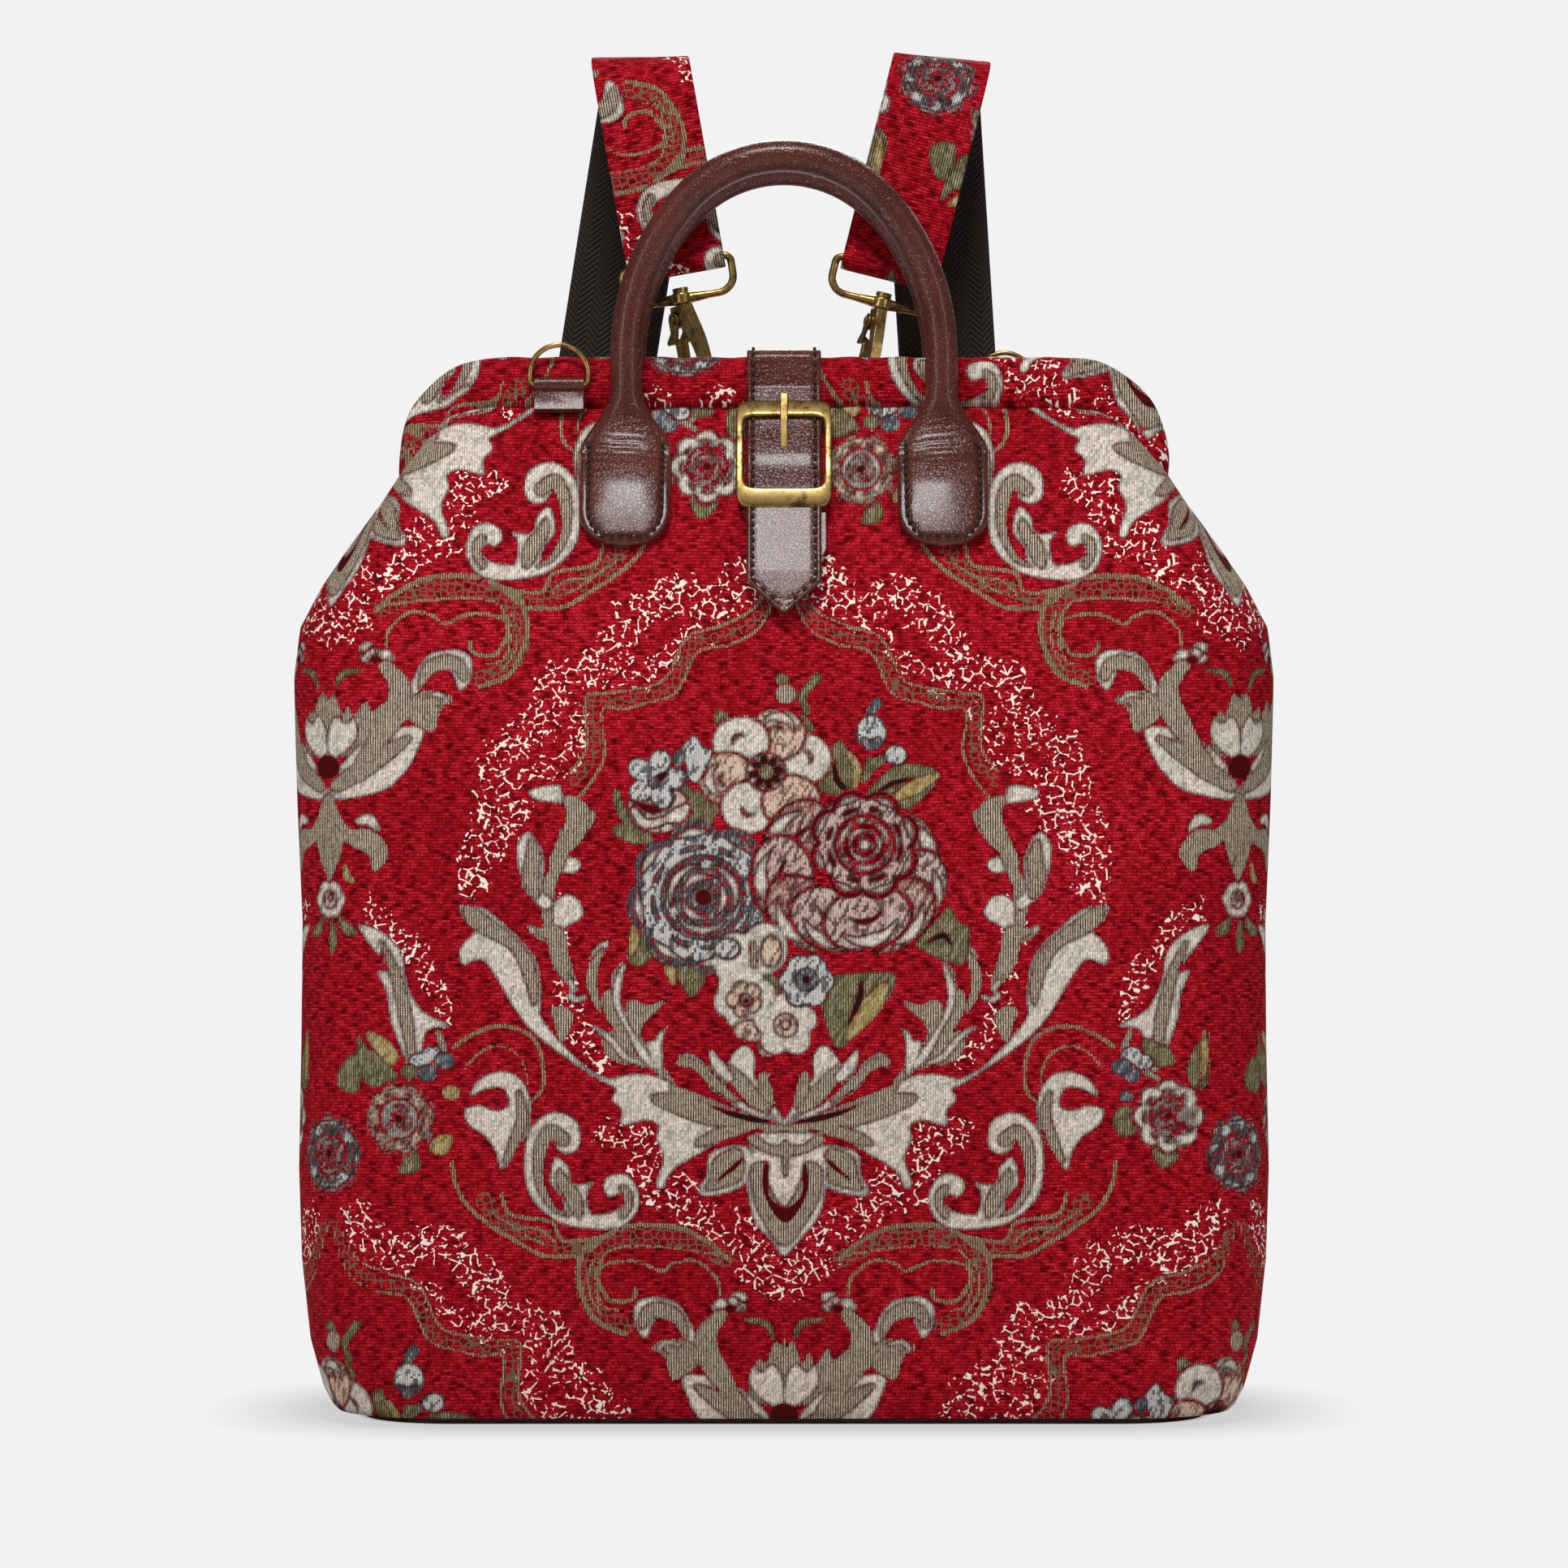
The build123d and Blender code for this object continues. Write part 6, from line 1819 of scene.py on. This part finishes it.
class BackpackSettings(bpy.types.PropertyGroup):
    """Sizes and colours of the finished backpack."""

    ground: bpy.props.FloatVectorProperty(
        name="Ground", description="Chenille ground of the cloth",
        subtype="COLOR", size=4, default=srgb(176, 14, 32),
    )
    leather: bpy.props.FloatVectorProperty(
        name="Leather", description="Colour of the leather", subtype="COLOR", size=4, default=srgb(76, 24, 11)
    )
    leather_worn: bpy.props.FloatVectorProperty(
        name="Worn leather", description="Rubbed colour of the leather",
        subtype="COLOR", size=4, default=srgb(98, 38, 21),
    )
    brass: bpy.props.FloatVectorProperty(
        name="Brass", description="Rubbed bright brass", subtype="COLOR", size=4, default=srgb(200, 168, 104)
    )
    brass_dark: bpy.props.FloatVectorProperty(
        name="Patina", description="Dark patina on the brass",
        subtype="COLOR", size=4, default=srgb(74, 54, 26),
    )
    # The webbing colour is the painted light on the rib tops. The valleys are painted darker as shade.
    webbing: bpy.props.FloatVectorProperty(
        name="Webbing", description="Lighter rib colour of the webbing",
        subtype="COLOR", size=4, default=srgb(44, 27, 18),
    )
    slub_relief: bpy.props.FloatProperty(
        name="Slub relief", description="Height of the cloth's rows",
        default=0.0003, min=0, max=0.002, subtype="DISTANCE",
    )
    stitch_pitch: bpy.props.FloatProperty(
        name="Stitch pitch", description="Length of one stitch on the leather",
        default=0.0035, subtype="DISTANCE",
    )
    pressure: bpy.props.FloatProperty(
        name="Filling", description="Pressure of the filling",
        default=4.0, min=0, max=20,
    )
    swell: bpy.props.FloatProperty(
        name="Most swell", description="Limit on how far the filling pushes a panel",
        default=0.009, subtype="DISTANCE",
    )
    front_spacing: bpy.props.FloatProperty(
        name="Front grid", description="Grid spacing of the front panel", default=0.00105, subtype="DISTANCE"
    )
    back_spacing: bpy.props.FloatProperty(
        name="Back grid", description="Grid spacing of the back panel", default=0.002, subtype="DISTANCE"
    )


class PieceOperator:
    """Shared parts of the building operators."""

    bl_options = {"REGISTER", "UNDO"}

    def execute(self, context):
        self.build(context.scene.backpack)
        return {"FINISHED"}


class BACKPACK_OT_body(PieceOperator, bpy.types.Operator):
    """Build the padded front and back panels"""

    bl_idname = "backpack.body"
    bl_label = "Body panels"

    def build(self, s):
        for node, face in (("front_panel", FRONT), ("back_panel", BACK)):
            spacing = s.front_spacing if face == FRONT else s.back_spacing
            panel = body_panel(f"{node}_padded", face, s, spacing / MM)
            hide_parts(node)
            if face == FRONT:
                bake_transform(panel)
            else:
                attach(panel, "bag")


class BACKPACK_OT_lining(PieceOperator, bpy.types.Operator):
    """Build the lining inside both panels and hide the CAD lining"""

    bl_idname = "backpack.lining"
    bl_label = "Lining"

    def build(self, s):
        for face in (FRONT, BACK):
            name = "lining_front" if face == FRONT else "lining_back"
            half = body_panel(name, face, s, 5.0, inset=6.2, drop=14)
            wall = half.modifiers.new("Cloth thickness", "SOLIDIFY")
            wall.thickness = 1.2 * MM
            if face == FRONT:
                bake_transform(half)
            else:
                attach(half, "bag")
        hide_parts("lining")


class BACKPACK_OT_casings(PieceOperator, bpy.types.Operator):
    """Build the padded casings of the frame bars"""

    bl_idname = "backpack.casings"
    bl_label = "Casings"

    def build(self, s):
        for node, face in (("front_casing", FRONT), ("rear_casing", BACK)):
            band = casing(f"{node}_padded", face, s, 1.4)
            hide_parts(node)
            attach(band, NODES[node]["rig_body"])


class BACKPACK_OT_handles(PieceOperator, bpy.types.Operator):
    """Build the rolled leather handles with their stitched tabs"""

    bl_idname = "backpack.handles"
    bl_label = "Handles"

    def build(self, s):
        for node, face in (("front_handle", FRONT), ("rear_handle", BACK)):
            parts = leather_handle(f"{node}_leather", face, s)
            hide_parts(node)
            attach(parts[0], NODES[node]["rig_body"])
            tab_stitches(f"{node}_stitching", s, parts, NODES[node]["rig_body"])


class BACKPACK_OT_closure(PieceOperator, bpy.types.Operator):
    """Build the closure strap and finish its buckle, prong and snap"""

    bl_idname = "backpack.closure"
    bl_label = "Closure strap"

    def build(self, s):
        closure_strap(s)
        softened("closure_strap_anchor", look("leather", s), 0.5)
        softened("under_strap", look("leather", s), 0.3)
        buckle_frame(s)
        softened("buckle_prong", look("antique_brass", s), 0.5, 3, reshape=sunk_prong)
        for node in ("snap_socket", "snap_stud"):
            softened(node, look("antique_brass", s), 0.2)


class BACKPACK_OT_hardware(PieceOperator, bpy.types.Operator):
    """Build the D-rings and trigger snaps and finish their tabs"""

    bl_idname = "backpack.hardware"
    bl_label = "Rings and snaps"

    def build(self, s):
        for name in RING_NAMES:
            node = f"{name}_d_ring"
            bar, rise = ring_pose(node)
            d_ring(name, bar, rise, s, NODES[node]["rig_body"])
            softened(f"{node}_tab", look("leather", s), 0.9, 3)
        for name in SNAP_NAMES:
            swivel_ring(name, s)
            softened(f"{name}_snap_hook", look("antique_brass", s), 1.0, 3)
            softened(f"{name}_snap_lever", look("antique_brass", s), 0.4)
            softened(f"{name}_snap_pin", look("antique_brass", s), 0.3)


class BACKPACK_OT_straps(PieceOperator, bpy.types.Operator):
    """Build the webbing shoulder straps with their tapestry facings and sliders"""

    bl_idname = "backpack.straps"
    bl_label = "Shoulder straps"

    def build(self, s):
        loom = shared("loom", weave_cloth)
        for name, side, shift in (("left", -1, (-110, -275)), ("right", 1, (0, -205))):
            stations, start, stop = strap_stations(name, side)
            webbing = strap_ribbon(f"{name}_webbing_woven", look("webbing", s), stations, 0.0, 1.8, 2.0)
            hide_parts(f"{name}_webbing")
            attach(webbing, NODES[f"{name}_webbing"]["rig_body"])
            facing = strap_ribbon(
                f"{name}_strap_facing_cloth", look("tapestry", s), stations[start:stop], 1.55, 1.2, 1.3,
                weave=loom, shift=shift,
            )
            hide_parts(f"{name}_strap_facing")
            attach(facing, NODES[f"{name}_strap_facing"]["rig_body"])
            softened(f"{name}_slider", look("antique_brass", s), 0.5)


class BACKPACK_OT_frame_finish(PieceOperator, bpy.types.Operator):
    """Give the hidden frame, board and base pieces their materials"""

    bl_idname = "backpack.frame_finish"
    bl_label = "Frame and base"

    def build(self, s):
        finish = {"base_panel": "leather", "base_board": "board", "laptop_sleeve": "lining_cloth"}
        for name, obj in NODES.items():
            if obj.hide_render:
                continue
            obj.data.materials.clear()
            obj.data.materials.append(look(finish.get(name, "steel"), s))


class BACKPACK_OT_stage(PieceOperator, bpy.types.Operator):
    """Set up the floor, the lights, the backdrop and the camera"""

    bl_idname = "backpack.stage"
    bl_label = "Stage"

    def build(self, _):
        stage_floor()
        stage_lights()
        stage_camera()


class BACKPACK_PT_panel(bpy.types.Panel):
    """Sidebar panel of the backpack builder"""

    bl_idname = "BACKPACK_PT_panel"
    bl_label = "Tapestry Backpack"
    bl_space_type = "VIEW_3D"
    bl_region_type = "UI"
    bl_category = "Backpack"

    def draw(self, context):
        for key in BackpackSettings.__annotations__:
            self.layout.prop(context.scene.backpack, key)
        for operator in OPERATORS:
            self.layout.operator(operator.bl_idname)


RING_NAMES = ("front_left", "rear_right", "upper_left", "upper_right", "lower_left", "lower_right")
SNAP_NAMES = ("upper_left", "upper_right", "lower_left", "lower_right")
JOINTS = {joint["name"]: joint for joint in frame["joints"]}


def ring_pose(node):
    """Middle of a D-ring's bar and the direction in which the ring rises from it."""
    spots = np.array([v.co for v in NODES[node].data.vertices]) / MM
    middle = (spots.min(0) + spots.max(0)) / 2
    flat = spots[:, 1:] - spots[:, 1:].mean(0)
    _, _, axes = np.linalg.svd(flat, full_matrices=False)
    rise = axes[0] if axes[0][1] > 0 else -axes[0]
    along = flat @ rise
    low_end = along.min() + 1.1
    centre = spots[:, 1:].mean(0) + rise * low_end
    return (middle[0], centre[0], centre[1]), (0.0, rise[0], rise[1])


# The stage


def stage_floor():
    """A pale floor that shows the camera only a painted shadow under the bag, made by ambient occlusion."""
    mesh = bmesh.new()
    bmesh.ops.create_grid(mesh, x_segments=2, y_segments=2, size=6.0)
    material = bpy.data.materials.new("floor")
    material.use_nodes = True
    t = Tree(material.node_tree)
    material.node_tree.nodes.clear()
    ray = t.node("ShaderNodeLightPath").outputs["Is Camera Ray"]
    shade = t.node("ShaderNodeAmbientOcclusion", samples=8)
    shade.inputs["Distance"].default_value = 0.05
    # Ambient occlusion darkens the emitted floor colour, which paints the shadow under the bag.
    depth = t.math("POWER", shade.outputs["AO"], 0.6)
    seen = t.node("ShaderNodeEmission")
    t.put(seen.inputs["Color"], t.mix(depth, srgb(120, 112, 110), srgb(242, 242, 242)))
    felt = t.node("ShaderNodeBsdfDiffuse")
    felt.inputs["Color"].default_value = srgb(238, 238, 238)
    both = t.node("ShaderNodeMixShader")
    t.put(both.inputs[0], ray)
    t.put(both.inputs[1], felt.outputs[0])
    t.put(both.inputs[2], seen.outputs[0])
    t.put(t.node("ShaderNodeOutputMaterial").inputs["Surface"], both.outputs[0])
    floor = finish_mesh("floor", mesh, material)


def stage_lights():
    """Level light from all round, with soft boxes at both sides, overhead and behind."""
    scene = bpy.context.scene
    world = bpy.data.worlds.new("studio")
    world.use_nodes = True
    scene.world = world
    t = Tree(world.node_tree)
    world.node_tree.nodes.clear()
    rays = t.node("ShaderNodeLightPath").outputs
    ray = rays["Is Camera Ray"]
    room = t.node("ShaderNodeBackground")
    room.inputs["Color"].default_value = (1.0, 1.0, 1.0, 1.0)
    t.put(room.inputs["Strength"], t.blend_values(rays["Is Glossy Ray"], 0.13, 0.085))
    seen = t.node("ShaderNodeBackground")
    seen.inputs["Color"].default_value = srgb(242, 242, 242)
    both = t.node("ShaderNodeMixShader")
    t.put(both.inputs[0], ray)
    t.put(both.inputs[1], room.outputs[0])
    t.put(both.inputs[2], seen.outputs[0])
    t.put(t.node("ShaderNodeOutputWorld").inputs["Surface"], both.outputs[0])
    for name, spot, size, power in (
        ("left_box", (-1.3, -1.5, 0.75), (0.2, 1.1), 7),
        ("right_box", (1.4, -1.5, 0.75), (0.2, 1.1), 5),
        ("top_box", (-0.1, -1.05, 1.95), (0.55, 0.35), 24),
        ("back_box", (0.2, 1.6, 1.4), (1.2, 0.8), 24),
    ):
        light = bpy.data.lights.new(name, "AREA")
        light.shape = "RECTANGLE"
        light.size, light.size_y = size
        light.energy = power
        lamp = bpy.data.objects.new(name, light)
        lamp.location = spot
        lamp.rotation_euler = (Vector((0, 0, 0.25)) - Vector(spot)).to_track_quat("-Z", "Y").to_euler()
        scene.collection.objects.link(lamp)


def stage_camera():
    """The level front view of the photograph."""
    camera = bpy.data.cameras.new("camera")
    camera.sensor_width = 36
    camera.lens = 36 * VIEW_DISTANCE / VIEW_WIDTH
    eye = bpy.data.objects.new("camera", camera)
    eye.location = (0, -VIEW_DISTANCE, VIEW_HEIGHT)
    eye.rotation_euler = (math.radians(90), 0, 0)
    scene = bpy.context.scene
    scene.collection.objects.link(eye)
    scene.camera = eye
    scene.view_settings.view_transform = "Standard"


OPERATORS = (
    BACKPACK_OT_body,
    BACKPACK_OT_lining,
    BACKPACK_OT_casings,
    BACKPACK_OT_handles,
    BACKPACK_OT_closure,
    BACKPACK_OT_hardware,
    BACKPACK_OT_straps,
    BACKPACK_OT_frame_finish,
    BACKPACK_OT_stage,
)


def register():
    for item in (BackpackSettings, *OPERATORS, BACKPACK_PT_panel):
        bpy.utils.register_class(item)
    bpy.types.Scene.backpack = bpy.props.PointerProperty(type=BackpackSettings)


def unregister():
    del bpy.types.Scene.backpack
    for item in (BACKPACK_PT_panel, *reversed(OPERATORS), BackpackSettings):
        bpy.utils.unregister_class(item)


def main():
    register()
    bpy.ops.backpack.body()
    bpy.ops.backpack.lining()
    bpy.ops.backpack.casings()
    bpy.ops.backpack.handles()
    bpy.ops.backpack.closure()
    bpy.ops.backpack.hardware()
    bpy.ops.backpack.straps()
    bpy.ops.backpack.frame_finish()
    bpy.ops.backpack.stage()


if __name__ == "__main__":
    main()
